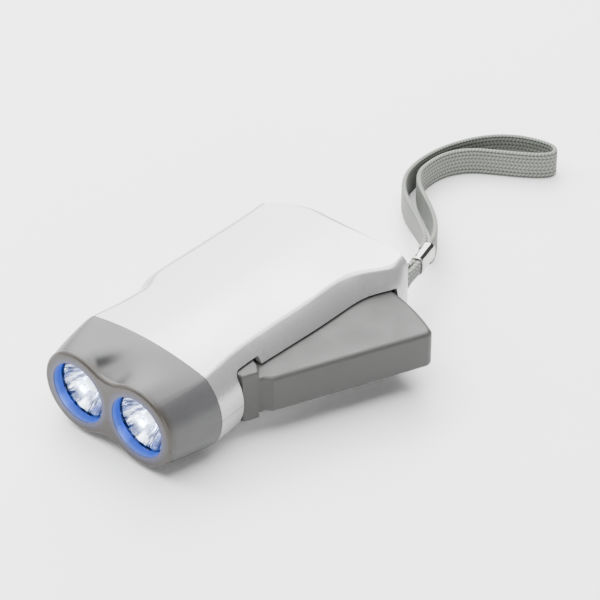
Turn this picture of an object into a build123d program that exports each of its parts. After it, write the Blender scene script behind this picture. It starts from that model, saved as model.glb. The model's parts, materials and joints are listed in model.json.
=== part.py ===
from build123d import *
from math import acos, atan2, cos, degrees, hypot, pi, radians, sin, sqrt, tan
import os

# Two-lamp pocket torch with a squeeze-lever dynamo, in millimetres.
# +Y runs from the lamps to the tail, +X is the side the lever swings out of, +Z is up.
# The origin is the middle of the flat underside that the torch rests on.

os.makedirs("parts", exist_ok=True)

# ---------------------------------------------------------------- housing
body_length = 104.6            # lamp rim to tail wall
body_height = 31.0             # flat underside to the top of the crown
half_width = 29.5              # at the seam between lamp head and housing
heel_half_width = 34.2         # the corner beside the lever's free end stands out this far
wall = 2.0
underside_cut = 0.6            # how much of the lower crown the flat underside takes off
parting_gap = 0.16             # the fine line between the two housing shells
seam_gap = 0.12                # the fine line between lamp head and housing
crease_radius = 3.0            # soft edge between the crowned top and the side
tail_near_radius = 9.0         # plan corner beside the lever
tail_far_radius = 26.0         # plan corner on the other side
tail_far_flare = 0.4           # the far side stands out this far where that corner starts
tail_edge_radius = 4.5         # rounding of the tail's upper and lower edges
tail_margin = 0.05             # keeps the tail block's flat faces clear of the crown

# ---------------------------------------------------------------- lamp head
head_length = 18.7             # lamp rim to seam
lobe_radius = 13.8             # each half of the figure-of-eight rim
lobe_offset = 12.2             # lamp axis from the middle
waist_half_height = 10.9       # rim's half height between the lamps
rim_depth = 1.6                # straight band at the rim
rim_radius = 1.1               # rounding of the rim
window_radius = 10.2           # what shows of each lamp
window_recess = 3.4            # window behind the rim
window_thickness = 1.0
window_seat = 0.5              # how far the window reaches behind its frame
fit_gap = 0.15                 # clearance of pieces that lie in a seat
spigot_length = 2.4            # collar of the head inside the housing
spigot_wall = 1.4

# ---------------------------------------------------------------- lamps
reflector_wall = 0.8
reflector_depth = 7.6
led_radius = 2.5
led_length = 6.0               # straight part of the lamp body behind its dome
led_flange = 0.4
board_thickness = 1.4
led_board_height = 15.0

# ---------------------------------------------------------------- lever
hinge_inset = 9.0              # hinge axis inside the side of the housing
hinge_behind_seam = 7.3
hinge_pin_radius = 1.5
hub_radius = 4.0
lever_end_inset = 9.4          # lever's rear face ahead of the tail
lever_height = 13.1
lever_lift = 0.9               # lever's middle above mid height
lever_wall = 2.0
lever_skin = 1.6
lever_edge_radius = 1.5
lever_corner_radius = 2.4
lever_flare = 23.9             # angle of the outer face from the body's length, lever out
lever_travel = 18.0            # degrees from out to squeezed
lever_gap = 0.6                # above, below and behind the lever in its slot
knuckle_height = 17.6
knuckle_radius = 12.6          # rear face of the knuckle, about the hinge
knuckle_edge_radius = 0.7
notch_length = 10.7            # taller part of the slot, round the knuckle
notch_corner_radius = 2.0
spring_coil_radius = 4.85
spring_wire_radius = 0.35
spring_pitch = 0.8

# ---------------------------------------------------------------- gear train
module = 0.8
pressure_angle = 20.0
addendum = 0.80                # in modules
dedendum = 1.10
backlash = 0.22
sector_teeth = 84              # teeth on the full circle that the sector is cut from
pinion_teeth = 10
wheel_teeth = 30
first_axle_angle = 112.0       # direction from the hinge to the first axle
second_axle_angle = 135.0      # direction from the first axle to the second
rotor_axle_angle = 115.0       # direction from the second axle to the rotor
sector_thickness = 3.0
wheel_thickness = 2.0
axle_radius = 0.75
running_gap = 0.05             # radial clearance of what turns on a pin
axial_gap = 0.3                # clearance along an axle
gear_collar_radius = 2.0
plate_thickness = 1.4
works_depth = 8.1              # lower ends of the gears below mid height

# ---------------------------------------------------------------- dynamo
rotor_radius = 9.4
rotor_bore = 6.0
rotor_height = 8.0
rotor_air_gap = 0.5
pole_depth = 2.2
core_height = 4.0
pole_half_angle = 50.0
coil_length = 13.0
coil_size = 10.6
bobbin_wall = 0.7
bobbin_flange = 12.0

# ---------------------------------------------------------------- electronics
circuit_width = 19.0
circuit_length = 13.0
capacitor_radius = 3.6
capacitor_length = 10.0
diode_radius = 0.9
wire_radius = 0.5

# ---------------------------------------------------------------- fasteners
screw_radius = 1.1
screw_head_radius = 1.9
screw_head_height = 1.4
post_radius = 2.8
press_gap = 0.02               # radial clearance of what is fixed in its hole
boss_radius = 3.4              # round the hinge pin
axle_boss_radius = 2.2
stop_radius = 1.1              # pegs that stop the sector at both ends of its travel
stop_distance = 10.5           # from the hinge
stop_tab_angle = 165.0
stop_tab_width = 3.2

# ---------------------------------------------------------------- wrist strap
strap_width = 10.0
strap_thickness = 1.3
gathered_width = 4.8           # where the ferrule squeezes the strap
bar_radius = 1.5
ferrule_length = 11.0
ferrule_height = 7.4
ferrule_wall = 0.5
ferrule_clearance = 0.25

# ================================================================ places
front_y = -body_length / 2
tail_y = body_length / 2
seam_y = front_y + head_length
housing_length = tail_y - seam_y
mid_z = (body_height - underside_cut) / 2
half_height = body_height - mid_z
hinge = Vector(half_width - hinge_inset, seam_y + hinge_behind_seam)
lever_reach = tail_y - lever_end_inset - hinge.Y       # hinge axis to the lever's rear face


def polar(centre, radius, angle):
    """The point at a radius and an angle in degrees from a centre."""
    return Vector(centre.X + radius * cos(radians(angle)), centre.Y + radius * sin(radians(angle)))


sector_radius = module * sector_teeth / 2
pinion_radius = module * pinion_teeth / 2
wheel_radius = module * wheel_teeth / 2
tip = addendum * module
first_axle_place = polar(hinge, sector_radius + pinion_radius, first_axle_angle)
second_axle_place = polar(first_axle_place, wheel_radius + pinion_radius, second_axle_angle)
rotor_place = polar(second_axle_place, wheel_radius + pinion_radius, rotor_axle_angle)

# levels of the works, from the bottom up
lever_z = mid_z + lever_lift
lever_bottom = lever_z - lever_height / 2
lever_top = lever_z + lever_height / 2
boss_top = lever_bottom - lever_gap
works_bottom = mid_z - works_depth
sector_bottom = mid_z - sector_thickness / 2
sector_top = mid_z + sector_thickness / 2
first_wheel_bottom = sector_top + 0.7
first_wheel_top = first_wheel_bottom + wheel_thickness
second_wheel_bottom = first_wheel_top + 0.8
second_wheel_top = second_wheel_bottom + wheel_thickness
plate_bottom = lever_top + 0.9
plate_top = plate_bottom + plate_thickness
rotor_bottom = works_bottom - 0.4
rotor_top = rotor_bottom + rotor_height
core_bottom = rotor_bottom + (rotor_height - core_height) / 2
core_top = core_bottom + core_height
floor_z = wall - underside_cut

# screw posts of the housing and of the gear plate
shell_posts = [
    Vector(-half_width + 8.0, seam_y + 7.0),
    Vector(hinge.X - 14.5, seam_y + 5.6),
    Vector(-half_width + 6.4, seam_y + 28.6),
    Vector(heel_half_width - 16.4, tail_y - wall - post_radius - 0.4),
]
plate_posts = [
    polar(hinge, 30.4, 150.5),
    Vector(rotor_place.X + rotor_radius + 1.0, tail_y - wall - post_radius - 1.4),
    Vector(heel_half_width - 25.6, tail_y - wall - post_radius - 1.4),
]


# ================================================================ outer form
# Stations along the housing: place behind the seam in hundredths of the housing's length, what the
# left and the right half width have more than at the seam, crown radius, and what the left and the
# right side radius have more than the half height. The first three lie ahead of the seam and only
# steer the surface there.
stations = [
    (-18.6, 1.6, 0.8, 92, 0.6, 0.6),
    (-12.3, 1.2, 0.6, 94, 0.6, 0.6),
    (-6.2, 0.6, 0.3, 97, 0.6, 0.6),
    (0.0, 0.0, 0.0, 100, 0.6, 0.6),
    (6.2, -0.7, -0.3, 103, 0.6, 0.6),
    (13.2, -1.6, -0.7, 106, 0.6, 0.6),
    (20.1, -1.9, -0.9, 110, 0.6, 0.6),
    (24.8, -1.7, -0.8, 114, 0.6, 0.6),
    (28.3, -0.6, -0.7, 118, 0.6, 0.6),
    (31.8, 0.5, -0.5, 122, 0.6, 0.6),
    (36.4, 0.9, -0.3, 128, 0.6, 0.6),
    (48.1, 0.9, 0.3, 140, 0.6, 0.6),
    (62.0, 0.7, 0.6, 160, 0.8, 0.8),
    (71.4, 0.4, 0.7, 185, 1.2, 1.2),
    (78.3, 0.1, 1.5, 210, 1.8, 2.2),
    (83.0, -0.1, 3.0, 235, 2.4, 3.7),
    (87.7, -0.3, 4.6, 260, 3.2, 6.2),
    (92.3, -0.5, 5.2, 280, 4.2, 9.2),
    (102.3, -0.8, 5.4, 300, 6.2, 12.2),
]
seam_station = stations[3]


def section_plane(y):
    """The upright plane across the body at y, with X to the right and Z up."""
    return Plane(origin=(0, y, 0), x_dir=(1, 0, 0), z_dir=(0, -1, 0))


def soft_corner(crown, side, side_radius, direction):
    """Start, middle and end of the arc that rounds the crease between crown and side.

    The crown is a circle about (0, centre), the side one about (x, mid_z). The rounding's
    centre lies crease_radius inside both.
    """
    centre_z, crown_radius = crown
    rounding = min(crease_radius, side_radius / 3)
    reach = crown_radius - rounding
    near = side_radius - rounding
    gap = hypot(side, mid_z - centre_z)
    along = (reach**2 - near**2 + gap**2) / (2 * gap)
    across = sqrt(reach**2 - along**2)
    unit = Vector(side / gap, (mid_z - centre_z) / gap)
    normal = Vector(unit.Y, -unit.X) * direction
    centre = Vector(0, centre_z) + unit * along + normal * across
    to_crown = (centre - Vector(0, centre_z)).normalized()
    to_side = (centre - Vector(side, mid_z)).normalized()
    halfway = (to_crown + to_side).normalized()
    return [centre + step * rounding for step in (to_crown, halfway, to_side)]


def section_corners(left, right, crown_radius, left_radius, right_radius, inset):
    """Upper right and upper left rounded creases of a section, drawn in by inset."""
    crown = (body_height - crown_radius, crown_radius - inset)
    right_corner = soft_corner(crown, right - right_radius, right_radius - inset, 1)
    left_corner = soft_corner(crown, left_radius - left, left_radius - inset, -1)
    return right_corner, left_corner


def flipped(point):
    """A section's point mirrored about mid height."""
    return Vector(point.X, 2 * mid_z - point.Y)


def housing_section(y, left, right, crown_radius, left_radius, right_radius, inset):
    """One cross section of the housing: crowned top and bottom, bowed sides, soft creases."""
    upper_right, upper_left = section_corners(
        left, right, crown_radius, left_radius, right_radius, inset
    )
    lower_right = [flipped(point) for point in upper_right]
    lower_left = [flipped(point) for point in upper_left]
    with BuildSketch(section_plane(y)) as section:
        with BuildLine():
            ThreePointArc(upper_left[0], (0, body_height - inset), upper_right[0])
            ThreePointArc(*upper_right)
            ThreePointArc(upper_right[2], (right - inset, mid_z), lower_right[2])
            ThreePointArc(*reversed(lower_right))
            ThreePointArc(lower_right[0], (0, inset - underside_cut), lower_left[0])
            ThreePointArc(*lower_left)
            ThreePointArc(lower_left[2], (inset - left, mid_z), upper_left[2])
            ThreePointArc(*reversed(upper_left))
        make_face()
    return section.sketch


def tail_block(inset):
    """The block whose rounded tail end closes the housing."""
    outer = heel_half_width - inset
    far = half_width + tail_far_flare - inset
    end = tail_y - inset
    near_radius = tail_near_radius - inset
    far_radius = tail_far_radius - inset
    edge = tail_edge_radius - inset
    with BuildPart() as block:
        with BuildSketch(Plane.XY.offset(inset - underside_cut - tail_margin)):
            with BuildLine():
                Polyline(
                    (outer, end - near_radius), (outer, seam_y), (-far, seam_y),
                    (-far, end - far_radius),
                )
                RadiusArc((-far, end - far_radius), (far_radius - far, end), far_radius)
                Line((far_radius - far, end), (outer - near_radius, end))
                RadiusArc((outer - near_radius, end), (outer, end - near_radius), near_radius)
            make_face()
        extrude(amount=body_height + underside_cut - 2 * (inset - tail_margin))
        rims = block.edges().filter_by(Plane.XY)
        fillet(rims.filter_by(lambda rim: rim.center().Y > seam_y + 1), radius=edge)
        # beyond the plan corners the sides are the sections' alone
        with BuildSketch(Plane.XY.offset(-body_height)):
            with Locations((-half_width, (seam_y + tail_y - tail_far_radius) / 2)):
                Rectangle(half_width, tail_y - tail_far_radius - seam_y)
        extrude(amount=body_height * 3)
    return block.part


def housing_form(inset):
    """The whole housing behind the seam as one solid, drawn in by inset."""
    sections = [
        housing_section(
            seam_y + place * housing_length / 100, half_width + left, half_width + right, crown_radius,
            half_height + left_bow, half_height + right_bow, inset,
        )
        for place, left, right, crown_radius, left_bow, right_bow in stations
    ]
    with BuildPart() as form:
        loft(sections)
        add(tail_block(inset), mode=Mode.INTERSECT)
    return form.part


outer_form = housing_form(0)
inner_form = housing_form(wall)


def round_bar(place, radius, bottom, top):
    """An upright round bar between two heights."""
    with BuildPart() as bar:
        with BuildSketch(Plane.XY.offset(bottom)):
            with Locations(place):
                Circle(radius)
        extrude(amount=top - bottom)
    return bar.part


# ================================================================ lever outline
# Points given from the hinge axis, with the lever out.
knuckle_front = (7.5, 3.4)
knuckle_rear = (9.5, 8.1)
face_start = (13.0, 10.9)
inner_bend = (4.3, 19.0)
inner_end_angle = 86.0
face_direction = Vector(sin(radians(lever_flare)), cos(radians(lever_flare)))
start = Vector(*face_start)
along_face = start.dot(face_direction)
face_length = sqrt(along_face**2 - start.dot(start) + lever_reach**2) - along_face
lever_corner = start + face_direction * face_length


def from_hinge(*points):
    """Places of points that are given from the hinge axis."""
    return [hinge + Vector(*point) if isinstance(point, tuple) else hinge + point for point in points]


with BuildSketch() as lever_plan:
    with BuildLine():
        inner_end = polar(Vector(0, 0), lever_reach, inner_end_angle)
        Polyline(*from_hinge(
            inner_end, inner_bend, (-hub_radius, 1.0), (hub_radius, knuckle_front[1]),
            knuckle_front, knuckle_rear, face_start, lever_corner,
        ))
        middle = polar(Vector(0, 0), lever_reach, (inner_end_angle + degrees(
            atan2(lever_corner.Y, lever_corner.X))) / 2)
        ThreePointArc(*from_hinge(lever_corner, middle, inner_end))
    make_face()
    fillet(lever_plan.vertices().sort_by(Axis.X)[-1], radius=lever_corner_radius)

# ================================================================ slot for the lever
notch_front = hinge.Y + knuckle_front[1] - lever_gap
slot_side = hinge.X + 3.5
notch_side = hinge.X + 2.0     # the notch clears the knuckle's inner corner, lever squeezed
slot_reach = lever_reach + 1.5 * lever_gap
slot_width = 2 * half_width

with BuildPart() as slot:
    with BuildSketch(Plane.XY.offset(lever_bottom - lever_gap)):
        with Locations(hinge):
            Circle(slot_reach)
        with Locations((slot_side + slot_width / 2, notch_front + notch_length / 2 + slot_reach)):
            Rectangle(slot_width, slot_reach * 2, mode=Mode.INTERSECT)
    extrude(amount=lever_height + 2 * lever_gap)
    with BuildSketch(Plane.YZ.offset(notch_side)) as notch:
        with Locations((notch_front + notch_length / 2, lever_z)):
            Rectangle(notch_length, knuckle_height + 2 * lever_gap)
        fillet(notch.vertices().group_by(Axis.X)[0], radius=notch_corner_radius)
    extrude(amount=slot_width)

# ================================================================ places inside
hinge_pin_bottom = floor_z + 1.2
hinge_pin_top = body_height - 4.4
axle_bottom = floor_z + 1.0
axle_top = plate_top - 0.2
rotor_boss_top = rotor_bottom - axial_gap
gear_places = [first_axle_place, second_axle_place]
parting_z = mid_z
bar_place = Vector(heel_half_width - 9.4, tail_y - 3.3)
bar_half_length = strap_width / 2 + 1.6
bar_z = mid_z - 0.4
stop_half = degrees((stop_tab_width / 2 + stop_radius + 0.2) / stop_distance)
stop_places = [
    polar(hinge, stop_distance, stop_tab_angle - stop_half),
    polar(hinge, stop_distance, stop_tab_angle + lever_travel + stop_half),
]
yoke_y = rotor_place.Y - 29.7
circuit_bottom = floor_z + 4.6
circuit_place = Vector(hinge.X - 27.0, seam_y + 12.8)
circuit_posts = [
    circuit_place + Vector(-circuit_width / 2 + 2.0, 0),
    circuit_place + Vector(circuit_width / 2 - 2.0, 0),
]
core_posts = [
    Vector(rotor_place.X - rotor_radius - rotor_air_gap - pole_depth / 2, yoke_y + 8.0),
    Vector(rotor_place.X + rotor_radius + rotor_air_gap + pole_depth / 2, yoke_y + 8.0),
]
screw_top = parting_z + 6.0
screw_head_bottom = 0.4
counterbore_top = screw_head_bottom + screw_head_height
plate_screw_length = 7.0

# the strap's window in the tail wall
window_half_width = bar_radius + strap_thickness + 1.0
window_half_height = strap_width / 2 + 0.6

with BuildPart() as strap_window:
    with BuildSketch(Plane.XZ.offset(-(tail_y - wall - 2.0))):
        with Locations((bar_place.X, bar_z)):
            RectangleRounded(window_half_width * 2, window_half_height * 2, 1.2)
    extrude(amount=-(wall + 4.0))

# ================================================================ bottom shell
with BuildPart() as lower_cavity:
    add(inner_form)
    add(round_bar(hinge, boss_radius, -wall, boss_top), mode=Mode.SUBTRACT)
    for place in gear_places:
        add(round_bar(place, axle_boss_radius, -wall, works_bottom - 0.3), mode=Mode.SUBTRACT)
    add(round_bar(rotor_place, axle_boss_radius, -wall, rotor_boss_top), mode=Mode.SUBTRACT)
    for place in shell_posts:
        add(round_bar(place, post_radius, -wall, body_height), mode=Mode.SUBTRACT)
    for place in circuit_posts:
        add(round_bar(place, stop_radius, -wall, circuit_bottom), mode=Mode.SUBTRACT)
    for place in core_posts:
        add(round_bar(place, stop_radius, -wall, core_bottom), mode=Mode.SUBTRACT)
    add(round_bar(bar_place, bar_radius + 1.2, -wall, bar_z - bar_half_length + 1.2), mode=Mode.SUBTRACT)

with BuildPart() as bottom_shell:
    add(outer_form)
    split(bisect_by=Plane.XY, keep=Keep.TOP)
    add(lower_cavity.part, mode=Mode.SUBTRACT)
    add(slot.part, mode=Mode.SUBTRACT)
    add(strap_window.part, mode=Mode.SUBTRACT)
    split(bisect_by=Plane.XY.offset(parting_z - parting_gap / 2), keep=Keep.BOTTOM)
    for place in plate_posts:
        add(round_bar(place, post_radius, floor_z - 0.6, plate_bottom))
        add(round_bar(
            place, screw_radius + press_gap, plate_bottom - plate_screw_length, plate_bottom,
        ), mode=Mode.SUBTRACT)
    for place in stop_places:
        add(round_bar(place, stop_radius, floor_z - 0.6, sector_top + 1.6))
    for place in shell_posts:
        add(round_bar(place, screw_radius + fit_gap, -1, body_height), mode=Mode.SUBTRACT)
        add(round_bar(place, screw_head_radius + fit_gap, -1, counterbore_top), mode=Mode.SUBTRACT)
    add(round_bar(hinge, hinge_pin_radius + press_gap, hinge_pin_bottom, body_height), mode=Mode.SUBTRACT)
    for place in [*gear_places, rotor_place]:
        add(round_bar(place, axle_radius + press_gap, axle_bottom, body_height), mode=Mode.SUBTRACT)
    add(round_bar(bar_place, bar_radius + press_gap, bar_z - bar_half_length, body_height), mode=Mode.SUBTRACT)
bottom_shell.part.label = "bottom_shell"
export_step(bottom_shell.part, "parts/bottom_shell.step")

# ================================================================ top shell
with BuildPart() as upper_cavity:
    add(inner_form)
    add(round_bar(hinge, boss_radius, lever_top + lever_gap, body_height), mode=Mode.SUBTRACT)
    for place in shell_posts:
        add(round_bar(place, post_radius, parting_z, body_height), mode=Mode.SUBTRACT)
    add(round_bar(bar_place, bar_radius + 1.2, bar_z + bar_half_length - 1.2, body_height), mode=Mode.SUBTRACT)

with BuildPart() as top_shell:
    add(outer_form)
    split(bisect_by=Plane.XY.offset(parting_z + parting_gap / 2), keep=Keep.TOP)
    add(upper_cavity.part, mode=Mode.SUBTRACT)
    add(slot.part, mode=Mode.SUBTRACT)
    add(strap_window.part, mode=Mode.SUBTRACT)
    for place in shell_posts:
        add(round_bar(place, screw_radius + press_gap, 0, screw_top + 0.4), mode=Mode.SUBTRACT)
    add(round_bar(hinge, hinge_pin_radius + press_gap, 0, hinge_pin_top), mode=Mode.SUBTRACT)
    add(round_bar(bar_place, bar_radius + press_gap, 0, bar_z + bar_half_length), mode=Mode.SUBTRACT)
top_shell.part.label = "top_shell"
export_step(top_shell.part, "parts/top_shell.step")

# ================================================================ lever
with BuildPart() as plate_blank:
    with BuildSketch(Plane.XY.offset(lever_bottom)):
        add(lever_plan.sketch)
    extrude(amount=lever_height)
    rims = plate_blank.edges().filter_by(
        lambda edge: abs(abs(edge.center().Z - lever_z) - lever_height / 2) < 0.01
        and (edge.center() - Vector(hinge.X, hinge.Y, edge.center().Z)).length > knuckle_radius
    )
    outer_rims = rims.filter_by(lambda edge: edge.center().X > hinge.X + inner_bend[0] + 2.0)
    fillet(outer_rims, radius=lever_edge_radius)

with BuildPart() as knuckle:
    with BuildSketch(Plane.XY.offset(lever_z - knuckle_height / 2)):
        with BuildLine():
            Polyline(*from_hinge(
                (hub_radius - 0.2, knuckle_front[1]), knuckle_front,
                Vector(*knuckle_rear) * 2 - Vector(*knuckle_front),
                (hub_radius - 0.2, 2 * knuckle_radius),
            ), close=True)
        make_face()
        with Locations(hinge):
            Circle(knuckle_radius, mode=Mode.INTERSECT)
    extrude(amount=knuckle_height)
    fillet(knuckle.faces().sort_by(Axis.Z)[-1].edges(), radius=knuckle_edge_radius)
    fillet(knuckle.faces().sort_by(Axis.Z)[0].edges(), radius=knuckle_edge_radius)

inner_face = start + Vector(-face_direction.Y, face_direction.X) * lever_wall
hollow_clearance = hub_radius + 3.6
with BuildPart() as lever_hollow:
    with BuildSketch(Plane.XY.offset(lever_bottom + lever_skin)):
        with BuildLine():
            Polyline(*from_hinge(
                inner_face, inner_face + face_direction * 2 * lever_reach,
                (-lever_reach, 2 * lever_reach), (-lever_reach, inner_face.Y),
            ), close=True)
        make_face()
        with Locations(hinge):
            Circle(lever_reach - lever_wall, mode=Mode.INTERSECT)
        with Locations(hinge + Vector(-1.0, inner_face.Y / 2)):
            Rectangle(2 * hollow_clearance - 0.4, inner_face.Y + 0.4)
        with Locations(hinge):
            Circle(hollow_clearance)
            Circle(hub_radius, mode=Mode.SUBTRACT)
    extrude(amount=lever_height - 2 * lever_skin)

with BuildPart() as lever:
    add(plate_blank.part)
    add(round_bar(hinge, hub_radius, lever_bottom, lever_top))
    add(knuckle.part)
    add(lever_hollow.part, mode=Mode.SUBTRACT)
    add(round_bar(hinge, hinge_pin_radius + running_gap, 0, body_height), mode=Mode.SUBTRACT)
lever.part.label = "squeeze_lever"
export_step(lever.part, "parts/squeeze_lever.step")

# ================================================================ hinge pin
with BuildPart() as hinge_pin:
    add(round_bar(hinge, hinge_pin_radius, hinge_pin_bottom, hinge_pin_top))
hinge_pin.part.label = "hinge_pin"
export_step(hinge_pin.part, "parts/hinge_pin.step")

# ================================================================ gears


def tooth_points(teeth, centre, angle):
    """One involute tooth's outline, from its right root to its left root."""
    pitch_radius = module * teeth / 2
    base = pitch_radius * cos(radians(pressure_angle))
    root = pitch_radius - dedendum * module
    outer = pitch_radius + tip
    half_tooth = (pi * module - backlash) / (4 * pitch_radius)
    involute = tan(radians(pressure_angle)) - radians(pressure_angle)
    flank = []
    start = max(root, base)
    for radius in sorted({root, start, (start + outer) / 2, outer}):
        roll = acos(base / max(radius, base))
        flank.append((radius, degrees(half_tooth + involute - tan(roll) + roll)))
    right = [polar(centre, radius, angle - half) for radius, half in flank]
    left = [polar(centre, radius, angle + half) for radius, half in reversed(flank)]
    return right + left


def gear_sketch(teeth, centre, angle, count=None, first=0):
    """A toothed disc with one tooth at angle, or the wedge that holds count of its teeth."""
    points = []
    for index in range(first, first + (count or teeth)):
        points += tooth_points(teeth, centre, angle + index * 360 / teeth)
    if count:
        points.append(centre)
    with BuildSketch() as disc:
        with BuildLine():
            Polyline(*points, close=True)
        make_face()
    return disc.sketch


# ================================================================ sector gear
sector_ring_radius = hub_radius + 2.0
sector_first = -5
sector_count = 7
with BuildPart() as sector_gear:
    with BuildSketch(Plane.XY.offset(sector_bottom)):
        add(gear_sketch(sector_teeth, hinge, first_axle_angle, sector_count, sector_first))
        with Locations(hinge):
            Circle(sector_ring_radius)
        with BuildLine():
            Polyline(
                hinge,
                polar(hinge, stop_distance + stop_radius - 0.4, stop_tab_angle - 8.2),
                polar(hinge, stop_distance + stop_radius - 0.4, stop_tab_angle + 8.2),
                close=True,
            )
        make_face()
        with Locations(hinge):
            Circle(hub_radius + press_gap, mode=Mode.SUBTRACT)
    extrude(amount=sector_thickness)
sector_gear.part.label = "sector_gear"
export_step(sector_gear.part, "parts/sector_gear.step")

# ================================================================ return spring
spring_bottom = sector_top + 0.9
spring_half_turns = 7
spring_long_leg = 10.8         # rests on a stop peg
spring_short_leg = 6.3


def spring_point(half_turns):
    """A point of the coil, after so many half turns from its lower end."""
    place = polar(hinge, spring_coil_radius, 270 + 180 * half_turns)
    return Vector(place.X, place.Y, spring_bottom + half_turns * spring_pitch / 2)


with BuildPart() as return_spring:
    with BuildLine() as spring_path:
        Line(spring_point(0) - Vector(spring_long_leg, 0, 0), spring_point(0))
        for half_turn in range(spring_half_turns):
            ThreePointArc(*(spring_point(half_turn + step) for step in (0, 0.5, 1)))
        spring_top = spring_point(spring_half_turns)
        Line(spring_top, spring_top - Vector(spring_short_leg, 0, 0))
    with BuildSketch(Plane(origin=spring_path.line @ 0, z_dir=(1, 0, 0))):
        Circle(spring_wire_radius)
    sweep()
return_spring.part.label = "return_spring"
export_step(return_spring.part, "parts/return_spring.step")

# ================================================================ first pinion, wheel and pawl
hub_bottom = works_bottom
hub_top = plate_bottom - axial_gap
gear_bore = axle_radius + running_gap
ratchet_radius = 7.2
ratchet_step = 1.0
ratchet_teeth = 12
ratchet_depth = 1.2

with BuildPart() as first_pinion:
    with BuildSketch(Plane.XY.offset(sector_bottom - axial_gap)):
        add(gear_sketch(pinion_teeth, first_axle_place, first_axle_angle + 180 + 180 / pinion_teeth))
    extrude(amount=sector_thickness + 2 * axial_gap)
    add(round_bar(first_axle_place, gear_collar_radius, hub_bottom, hub_top))
    add(round_bar(first_axle_place, gear_bore, 0, body_height), mode=Mode.SUBTRACT)
first_pinion.part.label = "first_pinion"
export_step(first_pinion.part, "parts/first_pinion.step")

with BuildPart() as first_wheel:
    with BuildSketch(Plane.XY.offset(first_wheel_bottom)):
        add(gear_sketch(wheel_teeth, first_axle_place, second_axle_angle))
    extrude(amount=wheel_thickness)
    with BuildSketch(Plane.XY.offset(first_wheel_top - ratchet_depth)):
        with BuildLine():
            saw = []
            for tooth in range(ratchet_teeth):
                saw.append(polar(first_axle_place, ratchet_radius - ratchet_step, tooth * 360 / ratchet_teeth))
                saw.append(polar(first_axle_place, ratchet_radius, tooth * 360 / ratchet_teeth))
            Polyline(*saw, close=True)
        make_face()
    extrude(amount=ratchet_depth, mode=Mode.SUBTRACT)
    add(round_bar(first_axle_place, gear_collar_radius + press_gap, 0, body_height), mode=Mode.SUBTRACT)
first_wheel.part.label = "first_wheel"
export_step(first_wheel.part, "parts/first_wheel.step")

pawl_radius = 3.2
pawl_arm = 1.2
pawl_reach = sqrt((ratchet_radius - ratchet_step - fit_gap) ** 2 - pawl_radius**2)
with BuildPart() as ratchet_pawl:
    with BuildSketch(Plane.XY.offset(first_wheel_top - ratchet_depth)):
        with Locations(first_axle_place):
            Circle(pawl_radius)
            with PolarLocations(0, 2):
                with Locations((pawl_radius - pawl_arm / 2, pawl_reach / 2)):
                    Rectangle(pawl_arm, pawl_reach)
            Circle(gear_collar_radius + press_gap, mode=Mode.SUBTRACT)
    extrude(amount=ratchet_depth - fit_gap)
ratchet_pawl.part.label = "ratchet_pawl"
export_step(ratchet_pawl.part, "parts/ratchet_pawl.step")

# ================================================================ second gear
with BuildPart() as second_gear:
    with BuildSketch(Plane.XY.offset(second_wheel_bottom)):
        add(gear_sketch(wheel_teeth, second_axle_place, rotor_axle_angle))
    extrude(amount=wheel_thickness)
    with BuildSketch(Plane.XY.offset(first_wheel_bottom - axial_gap)):
        add(gear_sketch(pinion_teeth, second_axle_place, second_axle_angle + 180 + 180 / pinion_teeth))
    extrude(until=Until.NEXT)
    add(round_bar(second_axle_place, gear_collar_radius, hub_bottom, hub_top))
    add(round_bar(second_axle_place, gear_bore, 0, body_height), mode=Mode.SUBTRACT)
second_gear.part.label = "second_gear"
export_step(second_gear.part, "parts/second_gear.step")

# ================================================================ flywheel with its ring magnet
flywheel_rim = 1.5
with BuildPart() as flywheel:
    add(round_bar(rotor_place, rotor_bore - press_gap, rotor_bottom, rotor_top))
    add(round_bar(rotor_place, rotor_radius, rotor_top, rotor_top + flywheel_rim))
    add(round_bar(rotor_place, gear_collar_radius + 0.5, rotor_top, second_wheel_bottom - axial_gap))
    with BuildSketch(Plane.XY.offset(second_wheel_bottom - axial_gap)):
        add(gear_sketch(pinion_teeth, rotor_place, rotor_axle_angle + 180 + 180 / pinion_teeth))
    extrude(amount=wheel_thickness + 2 * axial_gap)
    add(round_bar(rotor_place, gear_collar_radius, second_wheel_top, hub_top))
    add(round_bar(rotor_place, gear_bore, 0, body_height), mode=Mode.SUBTRACT)
flywheel.part.label = "flywheel"
export_step(flywheel.part, "parts/flywheel.step")

with BuildPart() as magnet_ring:
    add(round_bar(rotor_place, rotor_radius, rotor_bottom, rotor_top))
    add(round_bar(rotor_place, rotor_bore, rotor_bottom, rotor_top), mode=Mode.SUBTRACT)
magnet_ring.part.label = "magnet_ring"
export_step(magnet_ring.part, "parts/magnet_ring.step")

# ================================================================ axles
with BuildPart() as first_axle:
    add(round_bar(first_axle_place, axle_radius, axle_bottom, axle_top))
first_axle.part.label = "first_axle"
export_step(first_axle.part, "parts/first_axle.step")

with BuildPart() as second_axle:
    add(round_bar(second_axle_place, axle_radius, axle_bottom, axle_top))
second_axle.part.label = "second_axle"
export_step(second_axle.part, "parts/second_axle.step")

with BuildPart() as rotor_axle:
    add(round_bar(rotor_place, axle_radius, axle_bottom, axle_top))
rotor_axle.part.label = "rotor_axle"
export_step(rotor_axle.part, "parts/rotor_axle.step")

# ================================================================ gear plate and its screws
with BuildPart() as gear_plate:
    with BuildSketch(Plane.XY.offset(plate_bottom)):
        with Locations(*plate_posts, *gear_places, rotor_place):
            Circle(post_radius)
        make_hull()
        with Locations(*plate_posts):
            Circle(screw_radius + fit_gap, mode=Mode.SUBTRACT)
        with Locations(*gear_places, rotor_place):
            Circle(axle_radius + press_gap, mode=Mode.SUBTRACT)
    extrude(amount=plate_thickness)
gear_plate.part.label = "gear_plate"
export_step(gear_plate.part, "parts/gear_plate.step")


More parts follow.
